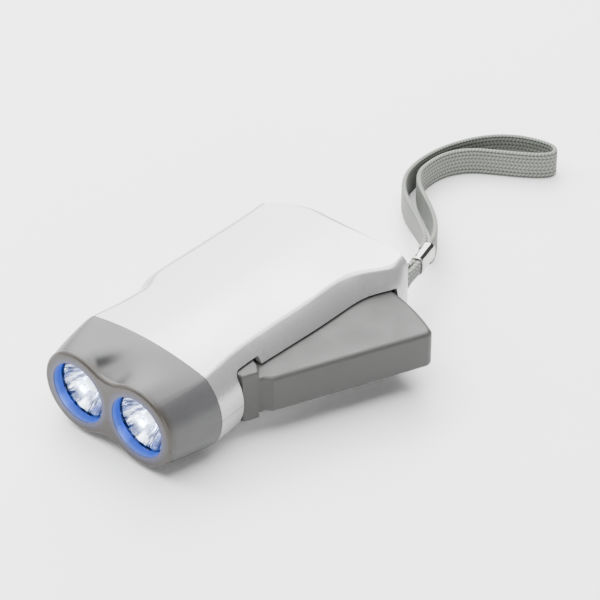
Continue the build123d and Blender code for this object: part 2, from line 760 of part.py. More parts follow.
def slotted_screw(place, bottom, seat, direction):
    """A pan-headed screw whose shank runs from bottom to its seat, with a driver slot in the head."""
    head_end = seat + direction * screw_head_height
    slot_end = head_end - direction * screw_head_height / 2
    with BuildPart() as screw:
        add(round_bar(place, screw_radius, min(bottom, seat), max(bottom, seat)))
        add(round_bar(place, screw_head_radius, min(seat, head_end), max(seat, head_end)))
        with BuildSketch(Plane.XY.offset(min(slot_end, head_end))):
            with Locations(place):
                Rectangle(2 * screw_head_radius + 1, 0.5)
        extrude(amount=screw_head_height / 2, mode=Mode.SUBTRACT)
    return screw.part


with BuildPart() as plate_screws:
    for place in plate_posts:
        add(slotted_screw(place, plate_top - plate_screw_length, plate_top, 1))
plate_screws.part.label = "plate_screws"
export_step(plate_screws.part, "parts/plate_screws.step")

with BuildPart() as housing_screws:
    for place in shell_posts:
        add(slotted_screw(place, screw_top, counterbore_top, -1))
housing_screws.part.label = "housing_screws"
export_step(housing_screws.part, "parts/housing_screws.step")

# ================================================================ stator core, bobbin and coil
pole_face = rotor_radius + rotor_air_gap
pole_back = pole_face + pole_depth
yoke_depth = 4.0
with BuildPart() as stator_core:
    with BuildSketch(Plane.XY.offset(core_bottom)):
        with Locations(rotor_place):
            Circle(pole_back)
            Circle(pole_face, mode=Mode.SUBTRACT)
        for side in (1, -1):
            with BuildLine():
                Polyline(
                    rotor_place,
                    polar(rotor_place, 2 * pole_back, 90 * side + 90 - pole_half_angle),
                    polar(rotor_place, 2 * pole_back, 90 * side - 90 + pole_half_angle),
                    close=True,
                )
            make_face(mode=Mode.SUBTRACT)
        legs_middle = (rotor_place.Y + yoke_y) / 2
        for side in (1, -1):
            with Locations((rotor_place.X + side * (pole_face + pole_depth / 2), legs_middle)):
                Rectangle(pole_depth, rotor_place.Y - yoke_y)
        with Locations((rotor_place.X, yoke_y)):
            Rectangle(2 * pole_back, yoke_depth)
    extrude(amount=core_height)
stator_core.part.label = "stator_core"
export_step(stator_core.part, "parts/stator_core.step")

core_middle = (core_bottom + core_top) / 2


def upright_block(x, length, size_y, size_z, radius):
    """A rounded block across the yoke, from x on, along +X."""
    with BuildPart() as block:
        with BuildSketch(Plane(origin=(x, yoke_y, core_middle), x_dir=(0, 1, 0), z_dir=(1, 0, 0))):
            RectangleRounded(size_y, size_z, radius)
        extrude(amount=length)
    return block.part


bobbin_start = rotor_place.X - coil_length / 2
bobbin_bore_y = yoke_depth + 2 * fit_gap
bobbin_bore_z = core_height + 2 * fit_gap
with BuildPart() as coil_bobbin:
    add(upright_block(
        bobbin_start, coil_length, bobbin_bore_y + 2 * bobbin_wall, bobbin_bore_z + 2 * bobbin_wall, 0.5,
    ))
    for x in (bobbin_start, bobbin_start + coil_length - bobbin_wall):
        add(upright_block(x, bobbin_wall, bobbin_flange, bobbin_flange, 1.5))
    add(upright_block(bobbin_start, coil_length, bobbin_bore_y, bobbin_bore_z, 0.1), mode=Mode.SUBTRACT)
coil_bobbin.part.label = "coil_bobbin"
export_step(coil_bobbin.part, "parts/coil_bobbin.step")

with BuildPart() as coil_winding:
    winding_start = bobbin_start + bobbin_wall + press_gap
    winding_length = coil_length - 2 * bobbin_wall - 2 * press_gap
    tube_y = bobbin_bore_y + 2 * bobbin_wall + 2 * press_gap
    tube_z = bobbin_bore_z + 2 * bobbin_wall + 2 * press_gap
    add(upright_block(winding_start, winding_length, coil_size, coil_size, 2.0))
    add(upright_block(winding_start, winding_length, tube_y, tube_z, 0.5), mode=Mode.SUBTRACT)
coil_winding.part.label = "coil_winding"
export_step(coil_winding.part, "parts/coil_winding.step")

# ================================================================ circuit board and what it carries
circuit_top = circuit_bottom + board_thickness
with BuildPart() as circuit_board:
    with BuildSketch(Plane.XY.offset(circuit_bottom)):
        with Locations(circuit_place):
            RectangleRounded(circuit_width, circuit_length, 0.8)
    extrude(amount=board_thickness)
circuit_board.part.label = "circuit_board"
export_step(circuit_board.part, "parts/circuit_board.step")

capacitor_place = circuit_place + Vector(-circuit_width / 4, 0)
with BuildPart() as storage_capacitor:
    add(round_bar(capacitor_place, capacitor_radius, circuit_top, circuit_top + capacitor_length))
    fillet(storage_capacitor.faces().sort_by(Axis.Z)[-1].edges(), radius=0.5)
storage_capacitor.part.label = "storage_capacitor"
export_step(storage_capacitor.part, "parts/storage_capacitor.step")

diode_length = 3.4
diode_span = 5.0
diode_pitch = 2.2
diode_wire = 0.3
diode_z = circuit_top + diode_radius + fit_gap
with BuildPart() as rectifier_diodes:
    for row in range(4):
        centre = circuit_place + Vector(circuit_width / 5, (row - 1.5) * diode_pitch)
        left_end = Vector(centre.X, centre.Y, diode_z) - Vector(diode_span / 2, 0, 0)
        for radius, length in ((diode_radius, diode_length), (diode_wire, diode_span)):
            middle = left_end + Vector(diode_span / 2 - length / 2, 0, 0)
            with BuildSketch(Plane(origin=middle, z_dir=(1, 0, 0))):
                Circle(radius)
            extrude(amount=length)
        for end in (-1, 1):
            foot = centre + Vector(end * diode_span / 2, 0)
            add(round_bar(foot, diode_wire, circuit_top, diode_z + diode_wire))
rectifier_diodes.part.label = "rectifier_diodes"
export_step(rectifier_diodes.part, "parts/rectifier_diodes.step")

# ================================================================ inner wires


def bent_wire(start, corner_y, bend):
    """A wire that leaves start along Y and turns down onto the circuit board."""
    corner = Vector(start.X, corner_y, start.Z)
    direction = (corner - start).normalized()
    with BuildPart() as wire:
        with BuildLine():
            FilletPolyline(start, corner, Vector(start.X, corner_y, circuit_top), radius=bend)
        with BuildSketch(Plane(origin=start, z_dir=direction)):
            Circle(wire_radius)
        sweep()
    return wire.part


wire_inset = 1.1
coil_face = yoke_y - coil_size / 2
board_rear = circuit_place.Y + circuit_length / 2
board_front = circuit_place.Y - circuit_length / 2
with BuildPart() as coil_leads:
    for shift in (0, 2.0):
        start = Vector(rotor_place.X - 2.5 + shift, coil_face, circuit_top + 2.6)
        add(bent_wire(start, board_rear - wire_inset, 1.5))
coil_leads.part.label = "coil_leads"
export_step(coil_leads.part, "parts/coil_leads.step")

# ================================================================ lamp head
waist_gap = 2 * (lobe_radius - waist_half_height)
waist_radius = (waist_half_height**2 + lobe_offset**2 - lobe_radius**2) / waist_gap
lobe_top_angle = 62.0          # where the rim's upper edge turns into its side
lobe_side_angle = 45.0
head_wall = 1.8
lamp_block = 6.0               # solid depth behind the rim that the lamps sit in
spigot_root = 2.6              # how far the collar reaches back into the head
spigot_gap = 0.1
edge_fractions = (0, 0.17, 0.34, 0.5, 0.67, 0.84, 1)
seam_crown_radius = seam_station[3]
seam_side_radius = half_height + seam_station[4]


def rim_height(x, inset):
    """Half height of the figure-of-eight rim, and of the form that bridges its valley."""
    lobe = lobe_radius - inset
    waist = waist_radius + inset
    valley_end = lobe_offset * waist / (waist_radius + lobe_radius)
    if x > lobe_offset:
        return (sqrt(lobe**2 - (x - lobe_offset) ** 2),) * 2
    if x > valley_end:
        return sqrt(lobe**2 - (x - lobe_offset) ** 2), lobe
    return waist_half_height + waist_radius - sqrt(waist**2 - x**2), lobe


def head_quarter(share, inset):
    """Upper right quarter of a head section: upper edge, corner and side, share of the way back."""
    blend = share * (1.35 - 0.35 * share)
    lobe = lobe_radius - inset
    centre = Vector(lobe_offset, mid_z)
    corner, _ = section_corners(
        half_width, half_width, seam_crown_radius, seam_side_radius, seam_side_radius, inset
    )
    middle_angle = (lobe_top_angle + lobe_side_angle) / 2
    rim_corner = [polar(centre, lobe, angle) for angle in (lobe_top_angle, middle_angle, lobe_side_angle)]
    upper = []
    for fraction in edge_fractions:
        rim_x = fraction * rim_corner[0].X
        height, bridge = rim_height(rim_x, inset)
        rim_z = mid_z + bridge - (bridge - height) * (1 - share) ** 2
        seam_x = fraction * corner[0].X
        seam_z = body_height - seam_crown_radius + sqrt((seam_crown_radius - inset) ** 2 - seam_x**2)
        upper.append(Vector(rim_x, rim_z) * (1 - blend) + Vector(seam_x, seam_z) * blend)
    turn = [rim * (1 - blend) + seam * blend for rim, seam in zip(rim_corner, corner)]
    side = Vector(lobe_offset + lobe, mid_z) * (1 - blend) + Vector(half_width - inset, mid_z) * blend
    return upper, turn, side


def mirrored(point):
    """A section's point on the other side of the middle."""
    return Vector(-point.X, point.Y)


def head_section(y, share, inset):
    """A section of the head, from the figure-of-eight rim (share 0) to the seam (share 1)."""
    upper, turn, side = head_quarter(share, inset)
    top_edge = [mirrored(point) for point in reversed(upper[1:])] + upper
    with BuildSketch(section_plane(y)) as section:
        with BuildLine():
            Spline(*top_edge)
            ThreePointArc(*turn)
            ThreePointArc(turn[2], side, flipped(turn[2]))
            ThreePointArc(*(flipped(point) for point in reversed(turn)))
            Spline(*(flipped(point) for point in reversed(top_edge)))
            ThreePointArc(*(flipped(mirrored(point)) for point in turn))
            ThreePointArc(flipped(mirrored(turn[2])), mirrored(side), mirrored(turn[2]))
            ThreePointArc(*(mirrored(point) for point in reversed(turn)))
        make_face()
    return section.sketch


band_y = front_y + rim_depth
head_end = seam_y - seam_gap


def head_form(inset):
    """The head from its rim band back to the seam, drawn in by inset."""
    sections = [
        head_section(band_y + share * (head_end - band_y), share, inset) for share in (0, 0.5, 1)
    ]
    with BuildPart() as form:
        loft(sections)
    return form.part


def across_bar(x, radius, front, back):
    """A level round bar along Y at a lamp's height."""
    with BuildPart() as bar:
        with BuildSketch(Plane(origin=(x, front, mid_z), z_dir=(0, 1, 0))):
            Circle(radius)
        extrude(amount=back - front)
    return bar.part


def seam_slab(inset, front, back):
    """The seam's section as a slab along Y, drawn in by inset."""
    with BuildPart() as slab:
        extrude(head_section(front, 1, inset), amount=back - front, dir=(0, 1, 0))
    return slab.part


lamp_centres = (-lobe_offset, lobe_offset)
window_front = front_y + window_recess
window_back = window_front + window_thickness
window_hole = window_radius + window_seat + fit_gap
spigot_end = seam_y + spigot_length

rim_sections = []
for angle in (0, 30, 60, 90):
    rim_inset = rim_radius * (1 - sin(radians(angle)))
    rim_sections.append(head_section(front_y + rim_radius * (1 - cos(radians(angle))), 0, rim_inset))
with BuildPart() as rim_band:
    loft(rim_sections)
    extrude(head_section(front_y + rim_radius, 0, 0), amount=rim_depth - rim_radius, dir=(0, 1, 0))

with BuildPart() as head_cavity:
    add(head_form(head_wall))
    split(bisect_by=Plane.XZ.offset(-(front_y + lamp_block)), keep=Keep.BOTTOM)
    split(bisect_by=Plane.XZ.offset(-(seam_y - spigot_root)), keep=Keep.TOP)

with BuildPart() as head_bezel:
    add(head_form(0))
    add(rim_band.part)
    add(head_cavity.part, mode=Mode.SUBTRACT)
    add(seam_slab(wall + spigot_gap, head_end, spigot_end))
    add(seam_slab(wall + spigot_gap + spigot_wall, seam_y - spigot_root - 0.1, spigot_end), mode=Mode.SUBTRACT)
    for x in lamp_centres:
        add(across_bar(x, window_radius, front_y - 1, window_back), mode=Mode.SUBTRACT)
        add(across_bar(x, window_hole, window_front, front_y + lamp_block + 0.1), mode=Mode.SUBTRACT)
    with Locations((0, 0, -underside_cut)):
        Box(2 * body_length, 2 * body_length, 2 * underside_cut, mode=Mode.SUBTRACT)
head_bezel.part.label = "head_bezel"
export_step(head_bezel.part, "parts/head_bezel.step")

# ================================================================ windows, reflectors and LEDs
reflector_rim = window_radius - 0.6
reflector_flange = window_hole - fit_gap
flange_thickness = 1.0
neck_bore = led_radius + fit_gap
neck_radius = neck_bore + reflector_wall
led_collar = 1.0
reflector_back = window_back + reflector_depth
led_base = reflector_back + 0.3 + led_collar


def turned_about_lamp(x):
    """The plane of a lamp's half profile: radius from its axis and place along Y."""
    return Plane(origin=(x, 0, mid_z), x_dir=(1, 0, 0), z_dir=(0, 0, 1))


def bowl_depth(radius):
    """Depth of the reflector's parabola at a radius."""
    return reflector_depth * (reflector_rim**2 - radius**2) / (reflector_rim**2 - neck_bore**2)


def window(x):
    """A clear disc behind the rim."""
    with BuildPart() as disc:
        add(across_bar(x, reflector_flange, window_front, window_back))
        fillet(disc.edges(), radius=0.2)
    return disc.part


def reflector(x):
    """A parabolic bowl with a flange at its mouth and a neck round the LED."""
    half_way = (reflector_rim + neck_bore) / 2
    with BuildPart() as bowl:
        with BuildSketch(turned_about_lamp(x)):
            with BuildLine():
                ThreePointArc(
                    (neck_bore, reflector_back), (half_way, window_back + bowl_depth(half_way)),
                    (reflector_rim, window_back),
                )
                Polyline(
                    (reflector_rim, window_back), (reflector_flange, window_back),
                    (reflector_flange, window_back + flange_thickness),
                    (reflector_rim + 0.5, window_back + flange_thickness),
                )
                ThreePointArc(
                    (reflector_rim + 0.5, window_back + flange_thickness),
                    (half_way + 0.6, window_back + bowl_depth(half_way) + reflector_wall),
                    (neck_radius, reflector_back),
                )
                Line((neck_radius, reflector_back), (neck_bore, reflector_back))
            make_face()
        revolve(axis=Axis((x, 0, mid_z), (0, 1, 0)))
    return bowl.part


def led(x):
    """A five millimetre lamp: flanged base, straight body and dome."""
    shoulder = led_base - led_collar
    dome_start = led_base - led_length
    dome_tip = dome_start - led_radius
    lean = led_radius * sqrt(0.5)
    with BuildPart() as lamp:
        with BuildSketch(turned_about_lamp(x)):
            with BuildLine():
                Polyline(
                    (0, dome_tip), (0, led_base), (led_radius + led_flange, led_base),
                    (led_radius + led_flange, shoulder), (led_radius, shoulder), (led_radius, dome_start),
                )
                ThreePointArc((led_radius, dome_start), (lean, dome_start - lean), (0, dome_tip))
            make_face()
        revolve(axis=Axis((x, 0, mid_z), (0, 1, 0)))
    return lamp.part


with BuildPart() as left_window:
    add(window(-lobe_offset))
left_window.part.label = "left_window"
export_step(left_window.part, "parts/left_window.step")

with BuildPart() as right_window:
    add(window(lobe_offset))
right_window.part.label = "right_window"
export_step(right_window.part, "parts/right_window.step")

with BuildPart() as left_reflector:
    add(reflector(-lobe_offset))
left_reflector.part.label = "left_reflector"
export_step(left_reflector.part, "parts/left_reflector.step")

with BuildPart() as right_reflector:
    add(reflector(lobe_offset))
right_reflector.part.label = "right_reflector"
export_step(right_reflector.part, "parts/right_reflector.step")

with BuildPart() as left_led:
    add(led(-lobe_offset))
left_led.part.label = "left_led"
export_step(left_led.part, "parts/left_led.step")

with BuildPart() as right_led:
    add(led(lobe_offset))
right_led.part.label = "right_led"
export_step(right_led.part, "parts/right_led.step")

led_board_width = 2 * (lobe_offset + neck_radius + 5.3)
with BuildPart() as led_board:
    with BuildSketch(Plane(origin=(0, led_base, mid_z), x_dir=(1, 0, 0), z_dir=(0, -1, 0))):
        RectangleRounded(led_board_width, led_board_height, 1.5)
    extrude(amount=-board_thickness)
led_board.part.label = "led_board"
export_step(led_board.part, "parts/led_board.step")

with BuildPart() as led_leads:
    for shift in (1.5, 3.5):
        start = Vector(circuit_place.X + shift, led_base + board_thickness, circuit_top + 5.0)
        add(bent_wire(start, board_front + wire_inset, 2.5))
led_leads.part.label = "led_leads"
export_step(led_leads.part, "parts/led_leads.step")

# ================================================================ strap bar, loop and ferrule
with BuildPart() as strap_bar:
    add(round_bar(bar_place, bar_radius, bar_z - bar_half_length, bar_z + bar_half_length))
strap_bar.part.label = "strap_bar"
export_step(strap_bar.part, "parts/strap_bar.step")

ferrule_start = Vector(20.3, 67.1, 12.8)
ferrule_end = Vector(16.8, 77.6, 11.6)
ferrule_axis = (ferrule_end - ferrule_start).normalized()
ferrule_side = Vector(ferrule_axis.Y, -ferrule_axis.X, 0).normalized()
bundle_half = strap_thickness + 0.1
bundle_end = 5.0               # how far the loop reaches into the ferrule


def ferrule_block(width, height, start, length, radius):
    """A rounded block along the ferrule, from a distance behind its inner end."""
    with BuildPart() as block:
        place = ferrule_start + ferrule_axis * start
        with BuildSketch(Plane(origin=place, x_dir=ferrule_side, z_dir=ferrule_axis)):
            RectangleRounded(width, height, radius)
        extrude(amount=length)
    return block.part


ferrule_inner_width = 2 * bundle_half + 2 * ferrule_clearance
ferrule_inner_height = ferrule_height - 2 * ferrule_wall
loop_end = ferrule_start - ferrule_axis * 2.0
with BuildPart() as strap_ferrule:
    add(ferrule_block(
        ferrule_inner_width + 2 * ferrule_wall, ferrule_height, 0, ferrule_length, 2.0,
    ))
    add(ferrule_block(
        ferrule_inner_width, ferrule_inner_height, -1, ferrule_length + 2, 1.5,
    ), mode=Mode.SUBTRACT)
strap_ferrule.part.label = "strap_ferrule"
export_step(strap_ferrule.part, "parts/strap_ferrule.step")

loop_gap = 0.15
with BuildPart() as anchor_plan:
    with BuildSketch(Plane.XY):
        with Locations(bar_place):
            Circle(bar_radius + loop_gap + strap_thickness)
        with Locations(Vector(loop_end.X, loop_end.Y)):
            Circle(bundle_half)
        make_hull()
        with BuildSketch(Plane.XY, mode=Mode.SUBTRACT):
            with Locations(bar_place):
                Circle(bar_radius + loop_gap)
            with Locations(Vector(loop_end.X, loop_end.Y)):
                Circle(bundle_half - strap_thickness)
            make_hull()
    extrude(amount=body_height)

with BuildPart() as anchor_side:
    with BuildSketch(Plane.YZ.offset(-body_length)):
        with BuildLine():
            Polyline(
                (bar_place.Y - 5, bar_z - strap_width / 2), (tail_y + 2, bar_z - strap_width / 2),
                (loop_end.Y, loop_end.Z - gathered_width / 2),
                (loop_end.Y + 5, loop_end.Z - gathered_width / 2),
                (loop_end.Y + 5, loop_end.Z + gathered_width / 2),
                (loop_end.Y, loop_end.Z + gathered_width / 2),
                (tail_y + 2, bar_z + strap_width / 2), (bar_place.Y - 5, bar_z + strap_width / 2),
                close=True,
            )
        make_face()
    extrude(amount=2 * body_length)

with BuildPart() as strap_anchor_loop:
    add(anchor_plan.part)
    add(anchor_side.part, mode=Mode.INTERSECT)
    add(ferrule_block(2 * bundle_half, gathered_width, -2.6, 2.6 + bundle_end, 0.6))
strap_anchor_loop.part.label = "strap_anchor_loop"
export_step(strap_anchor_loop.part, "parts/strap_anchor_loop.step")

# ================================================================ wrist strap
strap_route = [
    (17.4, 73.6), (15.9, 78.0), (12.8, 81.3), (6.5, 86.4), (0.5, 90.6), (-6.5, 95.6), (-13.0, 101.8),
    (-17.6, 109.5), (-19.0, 118.5), (-18.0, 128.0), (-14.8, 137.2), (-9.8, 145.2), (-3.0, 150.8),
    (4.5, 153.6), (10.2, 154.2), (13.0, 151.6), (11.2, 148.0), (5.5, 143.6), (-2.5, 138.8),
    (-10.2, 133.8), (-14.8, 126.6), (-15.6, 118.0), (-14.2, 111.2), (-9.0, 105.6), (-2.5, 101.0),
    (4.0, 96.2), (10.2, 90.4), (14.6, 84.2), (17.2, 78.9), (18.8, 74.0),
]
# lower and upper edge of the strap at places along Y
strap_edges = [
    (72.0, 9.8, 14.6), (77.0, 9.3, 14.1), (80.0, 7.6, 14.9), (92.0, 2.6, 12.6), (106.0, 0.0, 10.0),
    (160.0, 0.0, 10.0),
]


def route_radius(index):
    """The largest arc that the two runs at a point of the route allow."""
    before, here, after = (Vector(*point) for point in strap_route[index - 1:index + 2])
    turn = (here - before).get_angle(after - here)
    run = min((here - before).length, (after - here).length)
    return 0.45 * run / tan(radians(turn / 2))


route_radii = [route_radius(index) for index in range(1, len(strap_route) - 1)]

with BuildPart() as strap_side:
    with BuildSketch(Plane.YZ.offset(-body_length)):
        with BuildLine():
            lower = [(y, low) for y, low, high in strap_edges]
            upper = [(y, high) for y, low, high in reversed(strap_edges)]
            Polyline(*lower, *upper, close=True)
        make_face()
    extrude(amount=2 * body_length)

with BuildPart() as wrist_strap:
    with BuildLine() as strap_path:
        FilletPolyline(*strap_route, radius=route_radii)
    path_start = strap_path.line @ 0
    path_direction = strap_path.line % 0
    across = Vector(path_direction.Y, -path_direction.X, 0)
    with BuildSketch(Plane(origin=path_start, x_dir=across, z_dir=path_direction)):
        Rectangle(strap_thickness, 3 * strap_width)
    sweep()
    add(strap_side.part, mode=Mode.INTERSECT)
wrist_strap.part.label = "wrist_strap"
export_step(wrist_strap.part, "parts/wrist_strap.step")
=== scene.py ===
import bpy
import json
import math
import numpy as np
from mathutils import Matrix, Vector


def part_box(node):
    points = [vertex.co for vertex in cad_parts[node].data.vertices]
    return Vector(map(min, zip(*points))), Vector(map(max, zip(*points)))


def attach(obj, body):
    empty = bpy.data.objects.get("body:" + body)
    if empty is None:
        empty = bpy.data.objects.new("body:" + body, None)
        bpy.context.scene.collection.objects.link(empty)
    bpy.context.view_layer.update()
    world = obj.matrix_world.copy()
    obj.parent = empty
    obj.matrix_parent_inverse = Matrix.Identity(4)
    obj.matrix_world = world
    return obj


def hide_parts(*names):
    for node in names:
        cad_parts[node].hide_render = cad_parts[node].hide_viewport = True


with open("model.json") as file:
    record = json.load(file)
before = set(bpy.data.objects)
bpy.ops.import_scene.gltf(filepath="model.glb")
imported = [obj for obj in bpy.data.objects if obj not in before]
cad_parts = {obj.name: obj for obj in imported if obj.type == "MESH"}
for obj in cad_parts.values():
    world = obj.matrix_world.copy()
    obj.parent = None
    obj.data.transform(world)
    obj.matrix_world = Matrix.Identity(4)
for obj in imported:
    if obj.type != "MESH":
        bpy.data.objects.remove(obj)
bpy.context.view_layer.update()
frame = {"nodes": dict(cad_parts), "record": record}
mm = 0.001
nodes = frame["nodes"]
print("frame loaded:", len(nodes), "nodes")

# camera: fitted to the photograph's view of the housing, head and lever
view = {"azimuth": 41.185, "elevation": 37.054, "distance": 900.0, "focal": 172.97, "sensor": 36.0,
        "target": (7.188, 26.655, 15.0)}


def placeCamera():
    # the eye stands at distance from the target, azimuth round from -Y towards +X, elevation up
    data = bpy.data.cameras.new("camera")
    data.lens = view["focal"]
    data.sensor_width = view["sensor"]
    data.clip_end = 20
    eye = bpy.data.objects.new("camera", data)
    bpy.context.scene.collection.objects.link(eye)
    azimuth, elevation = math.radians(view["azimuth"]), math.radians(view["elevation"])
    away = Vector((math.sin(azimuth) * math.cos(elevation), -math.cos(azimuth) * math.cos(elevation),
                   math.sin(elevation)))
    target = Vector(view["target"]) * mm
    eye.location = target + away * view["distance"] * mm
    eye.rotation_euler = (-away).to_track_quat("-Z", "Y").to_euler()
    bpy.context.scene.camera = eye


placeCamera()

# small helpers for meshes


def gridMesh(name, points, capEnds=False):
    # points is an array (rings, around, 3) in metres: each ring is closed, and joined to the next by quads
    rings, around = points.shape[:2]
    index = np.arange(rings * around).reshape(rings, around)
    nextAround = np.roll(index, -1, axis=1)
    quads = np.stack([index[:-1], nextAround[:-1], nextAround[1:], index[1:]], axis=-1)
    faces = quads.reshape(-1, 4).tolist()
    if capEnds:
        faces += [index[0][::-1].tolist(), index[-1].tolist()]
    mesh = bpy.data.meshes.new(name)
    mesh.from_pydata(points.reshape(-1, 3).tolist(), [], faces)
    mesh.polygons.foreach_set("use_smooth", [True] * len(mesh.polygons))
    mesh.update()
    piece = bpy.data.objects.new(name, mesh)
    bpy.context.scene.collection.objects.link(piece)
    return piece


routeLine = {"order": 3, "stepsPerPoint": 16}


def nurbsLine(points):
    # the smooth line that a cord follows: a NURBS spline with the route's points, ending on the last ones
    data = bpy.data.curves.new("route", "CURVE")
    data.dimensions = "3D"
    data.resolution_u = routeLine["stepsPerPoint"]
    spline = data.splines.new("NURBS")
    spline.points.add(len(points) - 1)
    for place, point in zip(spline.points, points):
        place.co = (point[0] * mm, point[1] * mm, point[2] * mm, 1)
    spline.order_u = routeLine["order"]
    spline.use_endpoint_u = True
    holder = bpy.data.objects.new("route", data)
    bpy.context.scene.collection.objects.link(holder)
    mesh = bpy.data.meshes.new_from_object(holder)
    line = np.zeros(len(mesh.vertices) * 3)
    mesh.vertices.foreach_get("co", line)
    bpy.data.objects.remove(holder)
    bpy.data.meshes.remove(mesh)
    bpy.data.curves.remove(data)
    return line.reshape(-1, 3)


def evenly(line, step):
    # the same line at even steps: distance along it and the points there
    run = np.concatenate([[0], np.cumsum(np.linalg.norm(np.diff(line, axis=0), axis=1))])
    along = np.linspace(0, run[-1], int(round(run[-1] / step)) + 1)
    return along, np.stack([np.interp(along, run, line[:, k]) for k in range(3)], axis=1)


def smoothed(values, times):
    # each time a value becomes half of itself and a quarter of each neighbour, ends kept
    for _ in range(times):
        inner = (values[:-2] + 2 * values[1:-1] + values[2:]) / 4
        values = np.concatenate([values[:1], inner, values[-1:]])
    return values


def tangents(points):
    # the step from the point before to the point after, over its length
    step = np.gradient(points, axis=0)
    return step / np.linalg.norm(step, axis=1)[:, None]


# small helpers for materials


# where a noise counts as low and as high
noiseSpan = (0.3, 0.7)
# the mix node's sockets for its share and its colours
mixSockets = {"share": 0, "first": 6, "second": 7, "result": 2}


class Paint:
    # one procedural material: its node tree, its shader and a few ways to feed it
    def __init__(self, name, colour, roughness, metallic=0.0):
        # a shader with even values, some of which the other methods feed from textures
        self.material = bpy.data.materials.new(name)
        self.material.use_nodes = True
        self.tree = self.material.node_tree
        self.shader = self.tree.nodes["Principled BSDF"]
        self.shader.inputs["Base Color"].default_value = (*colour, 1)
        self.shader.inputs["Roughness"].default_value = roughness
        self.shader.inputs["Metallic"].default_value = metallic
        self.place = self.node("ShaderNodeTexCoord").outputs["Object"]

    def node(self, kind, **settings):
        # a new node, with each setting put in its property or else in its socket of that name
        made = self.tree.nodes.new(kind)
        for key, value in settings.items():
            if hasattr(made, key):
                setattr(made, key, value)
            else:
                made.inputs[key.replace("_", " ")].default_value = value
        return made

    def link(self, start, end):
        # an output feeds an input
        self.tree.links.new(start, end)

    def noise(self, scale, detail=2.0, roughness=0.5, stretch=None):
        # noise at the object's places, each coordinate first times its stretch where that is given
        place = self.place
        if stretch:
            mapping = self.node("ShaderNodeMapping")
            mapping.inputs["Scale"].default_value = stretch
            self.link(place, mapping.inputs["Vector"])
            place = mapping.outputs["Vector"]
        made = self.node("ShaderNodeTexNoise", Scale=scale, Detail=detail, Roughness=roughness)
        self.link(place, made.inputs["Vector"])
        return made.outputs["Fac"]

    def axis(self, letter):
        # one coordinate of the object's places
        split = self.node("ShaderNodeSeparateXYZ")
        self.link(self.place, split.inputs["Vector"])
        return split.outputs[letter]

    def ramp(self, value, span, dark, light):
        # dark up to the span's start, light from its end on, and a straight mix between
        made = self.node("ShaderNodeValToRGB")
        for element, position, colour in zip(made.color_ramp.elements, span, (dark, light)):
            element.position = position
            element.color = (*colour, 1)
        self.link(value, made.inputs["Fac"])
        return made.outputs["Color"]

    def mottled(self, source, colour, darker, lighter, span=noiseSpan):
        # the colour times darker where the noise is low, rising to times lighter where it is high
        return self.ramp(source, span, tinted(colour, darker), tinted(colour, lighter))

    def remap(self, value, low, high, newLow, newHigh, smooth=False):
        # low becomes newLow and high becomes newHigh, held beyond both, straight or eased between
        made = self.node("ShaderNodeMapRange")
        if smooth:
            made.interpolation_type = "SMOOTHSTEP"
        for key, number in (("From Min", low), ("From Max", high), ("To Min", newLow), ("To Max", newHigh)):
            made.inputs[key].default_value = number
        self.link(value, made.inputs["Value"])
        return made.outputs["Result"]

    def varied(self, source, newLow, newHigh):
        # newLow where the noise is low, newHigh where it is high
        return self.remap(source, *noiseSpan, newLow, newHigh)

    def fade(self, value, start, span, first, last):
        # eased from first to last between start plus both ends of the span, which is in mm
        return self.remap(value, start + span[0] * mm, start + span[1] * mm, first, last, True)

    def sum(self, first, second, operation="ADD"):
        # both values added, or joined by the operation that is named
        made = self.node("ShaderNodeMath", operation=operation)
        for socket, value in zip(made.inputs, (first, second)):
            if isinstance(value, (int, float)):
                socket.default_value = value
            else:
                self.link(value, socket)
        return made.outputs["Value"]

    def length(self, first, second):
        # the root of both squares added
        square = self.sum(self.sum(first, first, "MULTIPLY"), self.sum(second, second, "MULTIPLY"))
        return self.sum(square, 0.5, "POWER")

    def blend(self, share, first, second):
        # first times what is left of the share, plus second times the share
        made = self.node("ShaderNodeMix", data_type="RGBA")
        for key, value in (("first", first), ("second", second)):
            socket = made.inputs[mixSockets[key]]
            if isinstance(value, tuple):
                socket.default_value = (*value, 1)
            else:
                self.link(value, socket)
        self.link(share, made.inputs[mixSockets["share"]])
        return made.outputs[mixSockets["result"]]

    def colour(self, source):
        # the base colour comes from the source
        self.link(source, self.shader.inputs["Base Color"])

    def rough(self, source):
        # the roughness comes from the source
        self.link(source, self.shader.inputs["Roughness"])

    def glow(self, colour, strength):
        # light given off: the colour times the strength
        if isinstance(colour, tuple):
            self.shader.inputs["Emission Color"].default_value = (*colour, 1)
        else:
            self.link(colour, self.shader.inputs["Emission Color"])
        self.link(strength, self.shader.inputs["Emission Strength"])

    def bump(self, height, strength, distance=0.0001):
        # the surface tilts as if it rose by the distance, in metres, times the height
        made = self.node("ShaderNodeBump", Strength=strength, Distance=distance)
        self.link(height, made.inputs["Height"])
        self.link(made.outputs["Normal"], self.shader.inputs["Normal"])

    def coat(self, weight, roughness):
        # a clear layer over the colour
        self.shader.inputs["Coat Weight"].default_value = weight
        self.shader.inputs["Coat Roughness"].default_value = roughness


def tinted(colour, share):
    # each channel times the share
    return tuple(channel * share for channel in colour)


# finishes of the housing, head and lever
housingFinish = {"colour": (0.43, 0.435, 0.43), "metal": 0.6, "roughness": 0.25, "glossier": 0.04,
                 "duller": 0.06,
                 "darker": 0.93, "lighter": 1.05, "flakeScale": 2600, "hazeScale": 38, "peelScale": 210,
                 "grainScale": 1500, "grainShare": 0.25, "bump": 0.08}


